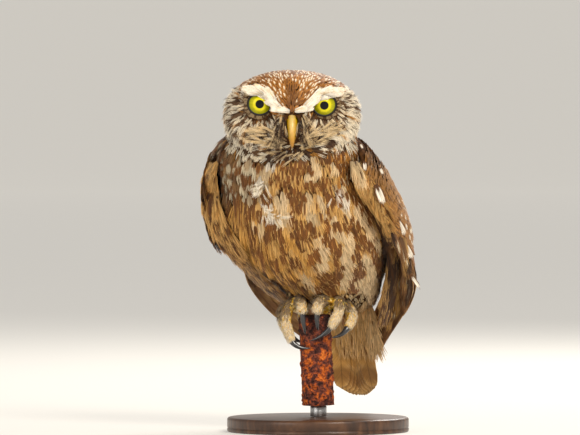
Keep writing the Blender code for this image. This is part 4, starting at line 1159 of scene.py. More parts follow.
def face_look(p, out, lie, i):
    column, row = CENTRE_COLUMN + p[0] / STEP, FLOOR_ROW - (p[2] - FLOOR_HIGH) / STEP
    h = head_frame.T @ (p - np.array(HEAD_CENTRE))
    facing = float(ramp(-h[1], 2.0, 10.0))
    luck, second, third = chance.random(), chance.random(), chance.random()
    nearer = EYES_AT[0] if column < BILL_COLUMN else EYES_AT[1]
    dx, dy = column - nearer[0], (row - nearer[1]) * 1.12
    eye_gap, spoke = math.hypot(dx, dy), math.atan2(dy, dx)
    pale = max(reach_of(column, row, path, 5.0) for path in PALE_BANDS) * facing
    dark = max(reach_of(column, row, path, half)
        for path, half in zip(DARK_PATCHES, (5.5, 5.5, 6.5))) * facing
    inner = float(1 - ramp(abs(column - BILL_COLUMN), 14, 26)) * float(ramp(row, 108, 114)) * (
        1 - float(ramp(row, 134, 142)))
    outer = float(ramp(abs(h[0]), 23, 30))
    streak = noise.noise(Vector((spoke * 6.5, eye_gap * 0.13, 4.0))) * 1.5 + (luck - 0.5) * 0.7
    streak += 0.25 * inner + 0.9 * dark - 0.5 * pale + (0.12 if column < 248 else 0.0) - (0.14 if column > 336 else 0.0)
    if streak > 0.08:
        base = blend_tone(("umber", 1.0), ("brown", 0.7 * second), ("dusk", 0.5 + 0.6 * outer),
            ("black", 1.6 * dark + 0.5 * inner))
    else:
        base = blend_tone(("cream", 1.4 + pale), ("sand", 0.5), ("grey", 0.4 - 0.4 * pale),
                          ("white", 0.6 + 1.6 * pale + 0.7 * outer),
                          ("buff", 1.0 * inner + 0.6 * dark))
    if dark > 0.5 and luck < 0.8:
        base = blend_tone(("black", 1.0), ("umber", 0.8))
    if eye_gap < 15.0 and abs(column - BILL_COLUMN) < 27 and row > 104:
        base = base * (0.45 + 0.3 * second)
    mark = blend_tone(("dusk", 1), ("umber", 0.8))
    spot_at = (0.3 * second, 0.15, 0.8) if third < 0.25 and pale < 0.5 else (0.0, 0.2, 0.8)
    return (1.5, 4.8 + 2.2 * outer + 1.6 * pale, 3.2), base, mark, spot_at


EYE_CENTRES = [np.array(head_point(side * EYE_SIDEWAYS, EYE_FORWARD, EYE_HIGH)) for side in (1, -1)]


def clear_of_eyes(where):
    """Which roots lie outside the eyes and the bill."""
    keep = np.ones(len(where), bool)
    for centre in EYE_CENTRES:
        front = where[:, 1] < centre[1] - 1
        keep &= ~(front & (np.linalg.norm((where - centre)[:, ::2], axis=1) < 6.6))
    h = (where - np.array(HEAD_CENTRE)) @ head_frame
    keep &= ~((np.abs(h[:, 0]) < 3.4) & (h[:, 1] < -20) & (h[:, 2] < 4.0) & (h[:, 2] > -12.5))
    return keep


print("brow height 10 mm out:", round(float(brow_line(10.0)), 1), "mm")

# %% [markdown]
# ## Growing the head's coat
# Three passes grow it. The crown and the back of the head carry neat small feathers a little over a
# millimetre apart. The face carries narrower, looser ones, set closer, so that pale and dark barbs mix into
# the fine rays that the photograph shows. A few loose wisps stand over them and break up the rim.

# %% Crown, nape and face
def head_roots(spacing, seed, crown):
    """Roots on the crown or the face, with their lie and place on the unwrap."""
    where, out = roots_on(skin, spacing, seed)
    h = (where - np.array(HEAD_CENTRE)) @ head_frame
    keep = clear_of_eyes(where) & (on_crown(h) == crown)
    where, out = where[keep], out[keep]
    lie, share, unwrap = lie_of(where, out)
    keep = share > 0.5
    return where[keep], out[keep], lie[keep], unwrap[keep]


roots = head_roots(1.3, 3, True)
grow_coat("crown_feathers", "plumage_brown", "small", coat_data(*roots, crown_look), 5, 0.16)
roots = head_roots(0.98, 4, False)
grow_coat("face_feathers", "plumage_face", "face", coat_data(*roots, face_look), 6, 0.2)


def wisp_look(p, out, lie, i):
    """Single loose barbs over the face's feathers, the more the nearer the outline."""
    long = face_look(p, out, lie, i)[0][1]
    luck = chance.random()
    tone = blend_tone(("white", 1), ("cream", 0.8)) if luck < 0.55 else blend_tone(("umber", 1),
        ("black", 0.6 * luck))
    if 0.55 < luck < 0.72:
        tone = blend_tone(("gold", 1), ("rust", 0.7))
    return (1.8, long * 1.3, 4.0), tone, tone, (0.0, 0.2, 0.8)


roots = head_roots(1.75, 5, False)
grow_coat("face_wisps", "plumage_face", "wisp", coat_data(*roots, wisp_look), 26, 0.42)

# %% [markdown]
# ## Feathers with a place of their own
# Four groups don't follow the skin's rule. The white brow is a thick roll of feathers that stands out over
# the eye like the peak of a cap. Tiny dark ones ring the lids and hide where they meet the face. Bristles
# stand beside the bill and sweep down and out over the gape. And a few curls of white down have worked
# loose on the breast. Each is set along a stroke, at the depth where a ray from the front meets the solid.

# %% Where a ray from the front meets the bird
corners, triangles = [], []
for node in ("head", "neck", "torso", "eye_left", "eye_right", "wing_left", "wing_right", "tail"):
    solid = frame["nodes"][node].data
    triangles += [[len(corners) + k for k in face.vertices] for face in solid.polygons]
    corners += [corner.co / MM for corner in solid.vertices]
front_of_bird = BVHTree.FromPolygons(corners, triangles)


def stroke_roots(path, halves, count, proud, seed, fan=0.25):
    """Roots scattered over a stroke of the picture, lying along it, that far in front of the solid."""
    scatter = random.Random(seed)
    where, outs, lies, shares = [], [], [], []
    for _ in range(count):
        at = scatter.random() * (len(path) - 1)
        k = min(int(at), len(path) - 2)
        t, off = at - k, scatter.uniform(-1, 1)
        half = halves[k] + (halves[k + 1] - halves[k]) * t
        dx, dy = path[k + 1][0] - path[k][0], path[k + 1][1] - path[k][1]
        long = math.hypot(dx, dy)
        dx, dy = dx / long, dy / long
        column = path[k][0] + (path[k + 1][0] - path[k][0]) * t - dy * off * half
        row = path[k][1] + (path[k + 1][1] - path[k][1]) * t + dx * off * half
        x, z = place_of(column, row)
        hit, normal, _, _ = front_of_bird.ray_cast(Vector((x, -200, z)), Vector((0, 1, 0)))
        if hit is None:
            continue
        out = (normal * 0.5 + Vector((0, -1, 0))).normalized()
        way = Vector((dx - dy * off * fan, 0.05, -(dy + dx * off * fan)))
        way = (way - out * way.dot(out)).normalized()
        where.append(hit + out * (proud[0] + (proud[1] - proud[0]) * (1 - off * off) * scatter.random()))
        outs.append(out)
        lies.append(way)
        shares.append((at / (len(path) - 1), off))
    where, outs, lies = (np.array([tuple(v) for v in k]) for k in (where, outs, lies))
    columns, rows = picture_of(where)
    unwrap = np.stack([(columns - 190) / 240, (430 - rows) / 400], -1)
    return (where, outs, lies, unwrap), np.array(shares)


def joined(parts):
    """Root arrays of several groups as one."""
    return tuple(np.concatenate(k) for k in zip(*parts))


def joined_data(parts):
    """Coat data of several groups as one."""
    return {key: np.concatenate([part[key] for part in parts]) for key in parts[0]}


# %% Brow, lid rings, bristles and curls
def brow_look(p, out, lie, i):
    luck, second = chance.random(), chance.random()
    base = blend_tone(("white", 1), ("cream", 0.3 * luck)) if second < 0.93 else blend_tone(("sand", 1),
        ("cream", 1))
    return (1.25, 6.0 + luck, 1.3), base, blend_tone(("sand", 1)), (0.25 if luck > 0.85 else 0.0, 0.1, 0.6)


parts = [stroke_roots(path, BROW_HALVES, 760, (0.5, 1.5), 71 + k, 0.06)[0] for k, path in enumerate(BROWS)]
grow_coat("brow_feathers", "plumage_face", "face", coat_data(*joined(parts), brow_look), 7, 0.05)


def brow_wisp_look(p, out, lie, i):
    """Single loose barbs that break the brow's surface and edges."""
    luck = chance.random()
    tone = blend_tone(("white", 1)) if luck < 0.8 else blend_tone(("sand", 1), ("grey", 0.6), ("cream", 1))
    return (1.1, 5.0 + 1.2 * luck, 1.8), tone, tone, (0.0, 0.2, 0.8)


halves = [0.7 * half for half in BROW_HALVES]
parts = [stroke_roots(path, halves, 190, (0.9, 1.5), 91 + k, 0.1)[0] for k, path in enumerate(BROWS)]
grow_coat("brow_wisps", "plumage_face", "wisp", coat_data(*joined(parts), brow_wisp_look), 29, 0.07)


def ring_look(p, out, lie, i):
    luck = chance.random()
    tones = [("umber", 1), ("dusk", 1.4 * luck)] if luck < 0.45 else [("dusk", 1), ("grey", 1),
        ("sand", luck)]
    return (1.2, 2.6 + 0.9 * luck, 2.0), blend_tone(*tones), blend_tone(("umber", 1)), (0.0, 0.2, 0.8)


LID_RINGS, LID_FEATHERS = (0.04, 0.11, 0.19, 0.28, 0.38, 0.48), 76
parts = []
for side in (1, -1):
    for step in LID_RINGS:
        swing = np.linspace(0, 2 * math.pi, LID_FEATHERS, endpoint=False) + step * 9
        turn = lid_opening(side, swing) + step
        at = eye_points(side, turn, swing, EYE_RADIUS + 0.75 - step * 0.3)
        out = at - eye_points(side, turn, swing, 0.0)
        out /= np.linalg.norm(out, axis=1)[:, None]
        way = eye_points(side, turn + 0.1, swing, EYE_RADIUS) - eye_points(side, turn, swing, EYE_RADIUS)
        way /= np.linalg.norm(way, axis=1)[:, None]
        unwrap = np.stack([0.25 * (2 - side) + (0.1 + step / 8) * np.cos(swing),
            0.5 + (0.1 + step / 8) * np.sin(swing)], -1)
        parts.append((at, out, way, unwrap))
grow_coat("lid_feathers", "plumage_face", "face", coat_data(*joined(parts), ring_look), 8, 0.12)

BRISTLES = [
    (70, "dark", [(284, 112), (281, 120), (280, 130), (277, 140)], (2.5, 4.5, 5.0, 4.5)),
    (70, "dark", [(300, 112), (303, 120), (304, 130), (307, 140)], (2.5, 4.5, 5.0, 4.5)),
    (60, "pale", [(289, 142), (279, 138), (266, 132), (254, 129)], (2.0, 3.6, 4.4, 3.4)),
    (60, "pale", [(295, 142), (305, 137), (318, 131), (334, 126)], (2.0, 3.6, 4.4, 3.4)),
    (46, "pale", [(286, 149), (276, 145), (264, 141), (250, 138)], (1.4, 1.8, 2.2, 2.0)),
    (52, "pale", [(298, 149), (308, 144), (322, 138), (338, 132)], (1.4, 1.8, 2.4, 2.2)),
    (12, "pale", [(305, 149), (299, 152), (291, 156)], (2.2, 2.6, 2.0)),
    (30, "dark", [(288, 150), (282, 153), (274, 154)], (2.0, 2.5, 2.0)),
]


def bristle_look(kind):
    def look(p, out, lie, i):
        luck, second = chance.random(), chance.random()
        if luck < (0.62 if kind == "dark" else 0.2):
            base = blend_tone(("black", 1), ("umber", 1.4 * second))
        else:
            base = blend_tone(("sand", 0.8), ("buff", 0.6 * luck), ("cream", 1.2 * second + 0.4))
        return (1.3, 5.5 + 3.5 * second, 2.6), base, base, (0.0, 0.1, 0.2)
    return look


parts = [coat_data(*stroke_roots(path, halves, count, (-0.6, 1.0), 81 + k)[0], bristle_look(kind))
         for k, (count, kind, path, halves) in enumerate(BRISTLES)]
grow_coat("bill_bristles", "plumage_face", "wisp", joined_data(parts), 9, 0.2)

CURLS = [([(262, 208), (272, 215), (281, 215)], (3.0, 2.5, 2.0), 16),
         ([(266, 180), (263, 188), (259, 194)], (3.0, 3.0, 2.5), 16),
         ([(205, 162), (203, 172), (201, 180)], (1.5, 2.5, 2.0), 30),
         ([(341, 186), (336, 192), (331, 196)], (0.8, 0.8, 0.8), 3)]


def curl_look(p, out, lie, i):
    luck = chance.random()
    return (1.3, 3.6 + 4.0 * luck, 4.0), blend_tone(("white", 1),
        ("cream", 0.8 * luck)), blend_tone(("sand", 1)), (0.0, 0.1, 0.2)


parts = [stroke_roots(path, halves, count, (0.0, 1.6), 91 + k, 1.6)[0]
    for k, (path, halves, count) in enumerate(CURLS)]
grow_coat("down_curls", "plumage_buff", "wisp", coat_data(*joined(parts), curl_look), 10, 0.5)

# %% [markdown]
# ## The breast, belly and back
# The breast feathers are buff with a broad dark brown streak, and they are loose, so that the streaks break
# into blotches. Low on the belly the streaks run long and part round the legs, and the feathers under the
# tail are plain buff. The back is brown with round white spots. Noise drawn out along the body could give
# all the blotches, but this bird has its own, so most are named strokes placed from the photograph, and
# noise only fills between them and takes over on the sides that the photograph doesn't show.

# %% Markings of the breast and belly
BODY_STROKES = {
    "grey": [(6, [(267, 158), (271, 168), (265, 178), (264, 190)]), (4, [(336, 190), (343, 198)]),
             (3, [(226, 158), (236, 166)]),
             (3.5, [(309, 217), (317, 222)])],
    "white": [(4, [(270, 160), (272, 172)]), (3.5, [(262, 186), (259, 193)]), (3, [(266, 209), (272, 215)]),
              (4, [(340, 200), (344, 208)]),
              (2.5, [(328, 143), (326, 153), (322, 160)]), (2.2, [(335, 140), (333, 148)])],
    "pale": [
        (4, [(298, 164), (316, 162)]), (4, [(313, 168), (318, 177)]), (3, [(309, 182), (320, 180)]),
        (5.5, [(341, 197), (345, 211)]),
        (6.5, [(281, 203), (286, 212), (283, 224)]), (3.2, [(311, 203), (309, 211)]),
        (3, [(320, 205), (322, 212)]),
        (4, [(327, 218), (332, 223)]),
        (4.8, [(336, 233), (346, 239), (350, 250), (346, 262), (349, 274), (344, 286)]),
        (4.5, [(356, 212), (364, 224), (370, 233)]), (4.5, [(363, 258), (368, 269), (374, 280)]),
        (2.6, [(381, 271), (386, 291)]),
        (7, [(361, 285), (371, 291), (371, 303)]), (4.4, [(318, 242), (324, 252), (323, 262), (319, 269)]),
        (4, [(306, 274), (312, 283), (318, 290)]), (3.5, [(247, 196), (250, 203)]),
        (3.5, [(262, 206), (266, 212)]), (3, [(248, 168), (256, 164)]),
        (3, [(257, 222), (262, 228)]), (3, [(332, 171), (334, 178)]), (4, [(370, 238), (378, 250)]),
        (5, [(324, 300), (340, 305), (355, 306)])],
    "gold": [
        (3.6, [(289, 239), (295, 247), (304, 259), (312, 271), (318, 278)]),
        (1.5, [(243, 212), (251, 236), (258, 259), (271, 277), (296, 300)]),
        (1.4, [(229, 200), (239, 221), (246, 241), (258, 262)]),
        (1.6, [(265, 253), (283, 265), (301, 277)]), (2.6, [(238, 180), (242, 196)]),
        (1.6, [(262, 246), (276, 258), (292, 268)]), (1.4, [(266, 266), (281, 281), (296, 292)]),
        (1.8, [(228, 170), (233, 186)])],
    "dark": [
        (4, [(249, 178), (258, 172)]), (4.4, [(279, 168), (289, 172), (301, 178), (311, 178)]),
        (4, [(283, 186), (290, 193), (298, 199)]),
        (3.6, [(306, 189), (321, 189)]), (4.6, [(350, 187), (356, 196), (365, 206)]),
        (4, [(296, 206), (298, 218), (295, 227), (300, 233)]),
        (2.6, [(302, 200), (304, 212)]), (3, [(270, 225), (276, 233), (280, 243), (289, 251)]),
        (5.5, [(274, 230), (281, 238)]),
        (4.2, [(327, 224), (327, 238), (336, 247), (340, 262), (339, 277), (331, 286), (322, 289)]),
        (4, [(348, 212), (353, 224), (359, 236), (371, 247), (378, 259)]),
        (3, [(346, 224), (355, 236), (365, 241), (374, 241)]),
        (2.6, [(353, 200), (362, 212), (371, 224)]), (4.6, [(356, 268), (355, 286), (352, 294)]),
        (3.2, [(371, 256), (377, 268), (378, 278)]),
        (2.2, [(377, 280), (383, 294)]), (3.6, [(296, 235), (301, 243)]),
        (3.2, [(311, 246), (317, 252), (312, 261)]),
        (5, [(320, 274), (326, 278), (331, 274)]), (2.6, [(268, 259), (283, 271), (298, 285), (306, 290)]),
        (1.6, [(259, 262), (274, 278), (295, 296)]),
        (3.2, [(257, 244), (271, 259), (289, 271), (301, 278)]),
        (2.4, [(221, 174), (230, 200), (239, 224)]), (2.6, [(237, 200), (248, 224), (259, 247)]),
        (3.2, [(250, 184), (257, 190)]), (3, [(252, 208), (259, 216)]), (3, [(266, 219), (273, 224)]),
        (4, [(324, 163), (336, 168), (347, 172)]),
        (3.4, [(262, 200), (270, 203)]), (3, [(289, 186), (300, 184)]), (3, [(328, 198), (333, 206)]),
        (3, [(312, 228), (318, 234)]),
        (4, [(240, 160), (252, 158)]), (3, [(322, 190), (328, 198)]), (3, [(354, 251), (359, 262)])],
    "warm": [(7, [(328, 158), (345, 148), (352, 140)]), (5, [(300, 156), (320, 156)]),
        (5, [(345, 178), (352, 170)]), (5, [(254, 150), (276, 154)])],
}
BACK_AXIS = BODY_TURN @ Vector((0, 0.67, 0.74))
chance = random.Random(23)


def body_look(p, out, lie, i):
    luck, second, third = chance.random(), chance.random(), chance.random()
    q = BODY_TURN.transposed() @ (Vector(p) - BODY_ORIGIN)
    behind = float(ramp(Vector(out).dot(BACK_AXIS), -0.15, 0.25))
    seen = p + lie * 7.0
    column, row = CENTRE_COLUMN + seen[0] / STEP, FLOOR_ROW - (seen[2] - FLOOR_HIGH) / STEP
    facing = float(ramp(-out[1], 0.0, 0.3))
    high = float(ramp(p[2], 128, 140))
    low = 1 - float(ramp(p[2], 62, 84))
    under_tail = float(ramp(q.y, 22, 32)) * (1 - behind)
    leg = p[2] < 80 and math.hypot(p[0], p[1]) < 27
    if behind > 0.5 or leg is False and under_tail > 0.5 and behind > 0.3:
        base = blend_tone(("brown", 1.0), ("rust", 0.9 + 0.5 * luck), ("dusk", 0.35))
        spot_at = (0.55, 0.62, 0.86) if second < 0.38 else (0.0, 0.5, 0.9)
        if p[2] > 132:
            spot_at = (0.6, 0.45, 0.9) if second < 0.7 else (0.0, 0.5, 0.9)
        return (8.2, 13.0, 8.0), base, blend_tone(("white", 1), ("cream", 0.6)), spot_at
    if leg:
        base = blend_tone(("sand", 1), ("grey", 0.8 * luck), ("cream", 0.8 * second))
        return (2.0, 4.6, 3.6), base, blend_tone(("dusk", 1)), (0.3 if third < 0.3 else 0.0, 0.2, 0.9)
    if under_tail > 0.5:
        base = blend_tone(("sand", 1.2), ("buff", 1.0), ("gold", 0.6 * luck), ("cream", 0.8 * second))
        return (6.5, 13.5, 8.0), base, blend_tone(("umber", 1)), (0.0, 0.3, 0.9)
    shares = {kind: max(reach_of(column, row, path, half) for half, path in strokes) * facing
              for kind, strokes in BODY_STROKES.items()}
    flank = float(1 - ramp(column - (0.62 * (row - 200) + 246), -8, 8)) * float(ramp(row, 190, 206)) * facing
    dark = 0.36 + 0.9 * blotch(p + lie * 6, 3.1, 4.4, 8.0) + 0.7 * blotch(p, 9.4, 2.0, 4.5) - 0.2 * low
    if flank > 0.4:
        dark = 0.36 + 1.3 * blotch(p + lie * 6, 5.7, 2.0, 20.0)
    dark += 0.75 * shares["dark"] - 0.9 * max(shares["pale"], shares["white"]) - 0.6 * max(shares["grey"],
        shares["gold"])
    base = blend_tone(("buff", 0.9), ("gold", 0.7 * luck + 1.0 * flank), ("sand", 0.7 * second),
                      ("cream", 1.3 * shares["pale"]),
                      ("white", 7.0 * shares["white"] + 0.4 * shares["pale"] * luck),
                      ("grey", 2.0 * shares["grey"]),
                      ("cream", 2.0 * shares["grey"] * luck + 0.7 * low * second),
                      ("gold", 3.0 * shares["gold"]))
    mark = blend_tone(("brown", 1.0), ("umber", 0.9 * second), ("rust", 0.5 * luck),
        ("dusk", 0.8 * shares["grey"]))
    size = (4.2, 14.5, 7.0) if flank > 0.4 else (3.4, 8.0, 6.6) if high > 0.5 else (4.8, 11.2, 7.6)
    if high > 0.2:
        if shares["warm"] > 0.5 or column > 338:
            base = blend_tone(("orange", 0.8), ("buff", 0.9 * luck), ("rust", 0.7 * second),
                ("white", 2.0 * shares["white"]))
            if luck > 0.74:
                base = blend_tone(("cream", 1), ("sand", 1))
            dark = dark * 0.6 - 0.1 if third < 0.5 else 0.55
        elif column < 258:
            base = blend_tone(("dusk", 0.8), ("buff", 0.9 * luck), ("brown", 0.9),
                ("cream", 1.2 * shares["pale"]))
            if third < 0.3:
                base, dark = blend_tone(("cream", 1), ("grey", 0.8)), -0.1
            dark += 0.1
    wide = float(np.clip(dark * 1.1, 0.0, 0.86)) * (0.8 + 0.25 * third)
    if dark < 0.12:
        wide = 0.0
    return size, base, mark, (wide, 0.08 + 0.1 * luck, 0.99 - 0.2 * (1 - wide) - 0.05 * second)


where, out = roots_on(skin, 2.45, 7)
lie, share, unwrap = lie_of(where, out)
on_body = share <= 0.5
where, out, lie, unwrap = where[on_body], out[on_body], lie[on_body], unwrap[on_body]
grow_coat("body_feathers", "plumage_buff", "body", coat_data(where, out, lie, unwrap, body_look), 9, 0.16)


def loose_look(p, out, lie, i):
    """Thin loose feathers over the broad ones, in their colours but with their own streak."""
    size, base, mark, spot_at = body_look(p, out, lie, i)
    return (size[0] * 0.66, size[1] * 0.84, size[2] * 1.15), base, mark, spot_at


where, out = roots_on(skin, 2.5, 31)
lie, share, unwrap = lie_of(where, out)
on_body = share <= 0.5
where, out, lie, unwrap = where[on_body], out[on_body], lie[on_body], unwrap[on_body]
grow_coat("loose_body_feathers", "plumage_buff", "loose", coat_data(where, out, lie, unwrap, loose_look),
    12, 0.24)

# %% [markdown]
# ## The sheet that a folded wing lies on
# The long feathers of a folded wing lie over each other like a hand of cards, and together they wrap round
# the flank. A feather could be placed by hand with a bend of its own, but it would soon cut its neighbour.
# So all of them lie on one curved sheet, at their own height above it: primaries lowest, coverts on top.
# The tail has a sheet of its own, almost flat. The sheets repeat those of the solids.


# %% Sheets of the wings and tail
WING_ROWS = [
    (-6.5, -26, 90, 22, 44, 34, 54, 2), (-7, -20, 78.5, 30, 51.5, 37.5, 62, -20),
    (-7.5, -14, 67, 36, 56, 42, 71, -26),
    (-6.5, -4, 53, 41, 58, 43.5, 76, -20), (-4, 9, 39, 42, 56, 40.5, 80, -13),
    (-1.5, 22, 26, 42, 51.5, 34, 82, -6),
    (0, 34, 12, 40, 45, 25, 82, 0), (1, 43, -2, 34, 35, 17, 80, 6), (2, 49, -17, 26, 23.5, 12, 77, 10),
    (3, 54, -32, 20, 15, 9, 72, 14),
]
WING_OPEN = {"left": (0, 0, 0, 0.5, 0.5, 1.2, 3.5, 3, 2, 1),
    "right": (0.5, -1, -3, -4, -4, 0.5, 8.5, 12, 9, 5)}
WING_RAISED = {"left": 0.0, "right": 2.0}
WING_RISE = {"left": 9.0, "right": 0.0}
PLACES = np.linspace(0, 1, 301)



class WingSheet:
    """u runs from shoulder to tip, v from the back edge to the belly edge, and lift stands off the body."""

    def __init__(self, name):
        self.side = 1 if name == "left" else -1
        rows = [(*row, out) for row, out in zip(WING_ROWS, WING_OPEN[name])]
        self.rows = np.array([along(rows, t) for t in PLACES])
        self.raised, self.rise = WING_RAISED[name], WING_RISE[name]
        turns = np.radians(self.rows[:, 6:7] + (self.rows[:, 7:8] - self.rows[:, 6:7]) * np.linspace(0, 1, 7))
        edge = np.stack([self.rows[:, 4:5] * np.cos(turns), self.rows[:, 5:6] * np.sin(turns)], -1)
        self.arcs = np.linalg.norm(np.diff(edge, axis=1), axis=2).sum(1)

    def __call__(self, u, v, lift):
        u, v, lift = (np.asarray(k, float) for k in np.broadcast_arrays(u, v, lift))
        x, y, z, lean, width, depth, back_edge, belly, out = (np.interp(u, PLACES, k) for k in self.rows.T)
        belly = belly + self.rise * np.sin(np.pi * np.minimum(1.0, u / 0.7))
        turn, lean = np.radians(back_edge + (belly - back_edge) * v), np.radians(lean)
        deep = (depth + lift) * np.sin(turn)
        local = np.stack([x + self.side * (out + (width + lift) * np.cos(turn)), y + deep * np.cos(lean),
                          z + self.raised * u * u + deep * np.sin(lean)], -1)
        return world(local, BODY_TURN, BODY_ORIGIN)

    def arc(self, u):
        return np.interp(u, PLACES, self.arcs)


TAIL_ROOT, TAIL_TIP = Vector((3.0, 41.0, 9.0)), Vector((4.3, 61.0, -45.6))
TAIL_WIDE = 60.0


class TailSheet:
    """u runs from root to tip, v across, and lift rises towards the back."""

    def __init__(self):
        self.length = (TAIL_TIP - TAIL_ROOT).length
        down = (TAIL_TIP - TAIL_ROOT).normalized()
        side = (Vector((1, 0, 0)) - down * down.x).normalized()
        back = side.cross(-down)
        self.down, self.side = np.array(down), np.array(side)
        self.back = np.array(back if back.y > 0 else -back)

    def __call__(self, u, v, lift):
        u, v, lift = (np.asarray(k, float) for k in np.broadcast_arrays(u, v, lift))
        off = ((v - 0.5) * TAIL_WIDE)[..., None]
        local = np.array(TAIL_ROOT) + self.down * self.length * u[..., None] + self.side * off
        local = local + self.back * (lift[..., None] - 0.012 * off * off)
        return world(local, BODY_TURN, BODY_ORIGIN)

    def arc(self, u):
        return TAIL_WIDE + 0 * np.asarray(u, float)


sheets = {name: WingSheet(name) for name in ("left", "right")}
sheets["tail"] = TailSheet()
print("a wing is", round(float(np.linalg.norm(sheets["left"](1, 0.5, 0) - sheets["left"](0, 0.5, 0)))),
    "mm long")

# %% [markdown]
# ## A flight feather
# A wing feather is a stiff vane with a horny shaft: narrower in front of the shaft, rounded at the tip, a
# little hollow underneath, and nicked where the barbs have come apart. It is a closed shell of two faces
# half a millimetre apart, so that it looks right from both sides. Markings have sharp edges on a
# feather, so each corner keeps how far inside a mark it lies, and the material draws the edge where that
# number passes zero, which is far sharper than colours on corners.

# %% Flight feathers
VANE_ROWS, VANE_COLUMNS, VANE_SUNK = 26, 10, 1.4
chance = random.Random(41)


class Vanes:
    """Gathers the feathers of one piece."""

    def __init__(self, sheet):
        self.sheet, self.parts, self.faces = sheet, [], []
        self.count = 0

    def feather(self, root, tip, width, lift, paint, thick=0.4, tilt=0.42, bow=0.0, camber=0.7, flat=0.0):
        """One vane from root to tip, with paint(across, from the tip) giving its ground, white and dark."""
        s = np.linspace(0, 1, VANE_ROWS + 1)[:, None]
        c = np.linspace(-1, 1, VANE_COLUMNS + 1)[None, :]
        shape = np.where(s < 0.3, 0.5 + 0.5 * np.sin(np.pi * s / 0.6), 1.0)
        shape = shape * np.sqrt(np.clip(1 - np.clip((s - 0.62) / 0.38, 0, 1) ** (2.3 + flat), 0.0004, 1))
        left, right = shape.copy(), shape.copy()
        for edge in (left, right):
            edge *= 1 + np.array([[chance.uniform(-0.03, 0.03)] for _ in s])
            for _ in range(chance.choice((0, 1, 1, 2))):
                edge *= 1 - chance.uniform(0.1, 0.3) * np.exp(-((s - chance.uniform(0.45, 0.93)) / 0.02) ** 2)
        half = 0.5 * width * np.where(c < 0, left, right)
        u = root[0] + (tip[0] - root[0]) * s
        arc = self.sheet.arc(u)
        v = root[1] + (tip[1] - root[1]) * s + bow * np.sin(np.pi * s)
        hold = 0.5 * width * shape / arc
        v = np.minimum(np.maximum(v, hold), 1.06 - hold)
        v = v + c * half / arc
        length = float(np.linalg.norm(self.sheet(tip[0], tip[1], lift) - self.sheet(root[0], root[1], lift)))
        wave = 0.12 * np.sin(s * 19 + chance.uniform(0, 6) + c * 2)
        top = lift + tilt * c + camber * (1 - c * c) * 0.5 + 0.22 * np.exp(-(c / 0.07) ** 2) * (1 - s) + wave * np.abs(c)
        top = top - VANE_SUNK * (1 - np.minimum(1.0, s / 0.3)) + 0 * u
        upper = self.sheet(u + 0 * c, v, top)
        lower = self.sheet(u + 0 * c, v, top - thick * (1 - 0.6 * c * c) - 0.15)
        across, from_tip = c * half, (1 - s) * length + 0 * c
        ground, white, dark = paint(across, from_tip, c + 0 * s, upper)
        rows, columns = s.shape[0], c.shape[1]
        for points in (upper, lower):
            self.parts.append((points.reshape(-1, 3), ground.reshape(-1, 4), white.ravel(), dark.ravel(),
                               np.stack([across, from_tip], -1).reshape(-1, 2),
                               np.full(rows * columns, chance.random())))
        base, size = self.count, rows * columns
        for i in range(rows - 1):
            for j in range(columns - 1):
                a = base + i * columns + j
                quad = (a, a + 1, a + columns + 1, a + columns)
                self.faces += [quad, tuple(k + size for k in quad[::-1])]
        rim = [j for j in range(columns)] + [i * columns + columns - 1 for i in range(1, rows)]
        rim += [(rows - 1) * columns + j for j in range(columns - 2, -1, -1)] + [i * columns
            for i in range(rows - 2, 0, -1)]
        for a, b in zip(rim, rim[1:] + rim[:1]):
            self.faces.append((base + b, base + a, base + a + size, base + b + size))
        self.count += 2 * size

    def piece(self, name, finish):
        """One object of all the feathers gathered."""
        points, ground, white, dark, web, luck = (np.concatenate(k) for k in zip(*self.parts))
        made = build(name, points, self.faces, finish)
        mesh = made.data
        mesh.attributes.new("base", "FLOAT_COLOR", "POINT").data.foreach_set("color", ground.ravel())
        for key, values in (("white", white), ("dark", dark), ("barb", luck)):
            mesh.attributes.new(key, "FLOAT", "POINT").data.foreach_set("value", values)
        corner = np.empty(len(mesh.loops), int)
        mesh.loops.foreach_get("vertex_index", corner)
        web_map = mesh.uv_layers.new(name="web")
        web_map.data.foreach_set("uv", web[corner].ravel())
        return outward(made)


# Keratin vane: silky brown with fine slanting barbs 0.5 mm apart, drawn 0.9 mm apart so that they show
vane_barbs, tree = new_material("vane_barbs")
stored = {key: add(tree, "ShaderNodeAttribute", out=out, attribute_name=key)
          for key, out in (("base", "Color"), ("white", "Fac"), ("dark", "Fac"), ("barb", "Fac"))}
web = add(tree, "ShaderNodeUVMap", uv_map="web")
parts = apart(tree, web)
off = maths(tree, "ABSOLUTE", parts[0])
slant = maths(tree, "MULTIPLY_ADD", off, 1.3, parts[1])
place = add(tree, "ShaderNodeCombineXYZ", {0: slant, 1: parts[0], 2: stored["barb"]})
lines = add(tree, "ShaderNodeTexWave", {"Vector": place, "Scale": 0.35, "Distortion": 2.2, "Detail": 2.0,
    "Detail Scale": 2.5}, out="Fac")
stretched = add(tree, "ShaderNodeMapping", {"Vector": place, "Scale": (1.1, 0.12, 9.0)})
streaks = add(tree, "ShaderNodeTexNoise",
    {"Vector": stretched, "Scale": 1.0, "Detail": 5.0, "Roughness": 0.65})
uneven = maths(tree, "SUBTRACT", streaks, 0.5)
edge = maths(tree, "MULTIPLY_ADD", uneven, 0.55, stored["white"])
white = remap(tree, edge, -0.05, 0.12)
ring = remap(tree, edge, low=-0.75, high=-0.05, last=0.6)
edge = maths(tree, "MULTIPLY_ADD", uneven, 0.8, stored["dark"])
dark = remap(tree, edge, -0.15, 0.2)
darkest = maths(tree, "MAXIMUM", ring, dark)
tone = mix(tree, darkest, stored["base"], colour("#452a14"))
tone = mix(tree, white, tone, colour("#f4ead6"))
shaft = remap(tree, off, 0.12, 0.4, 0.62, 1.0)
light = remap(tree, streaks, 0.25, 0.75, 0.62, 1.36)
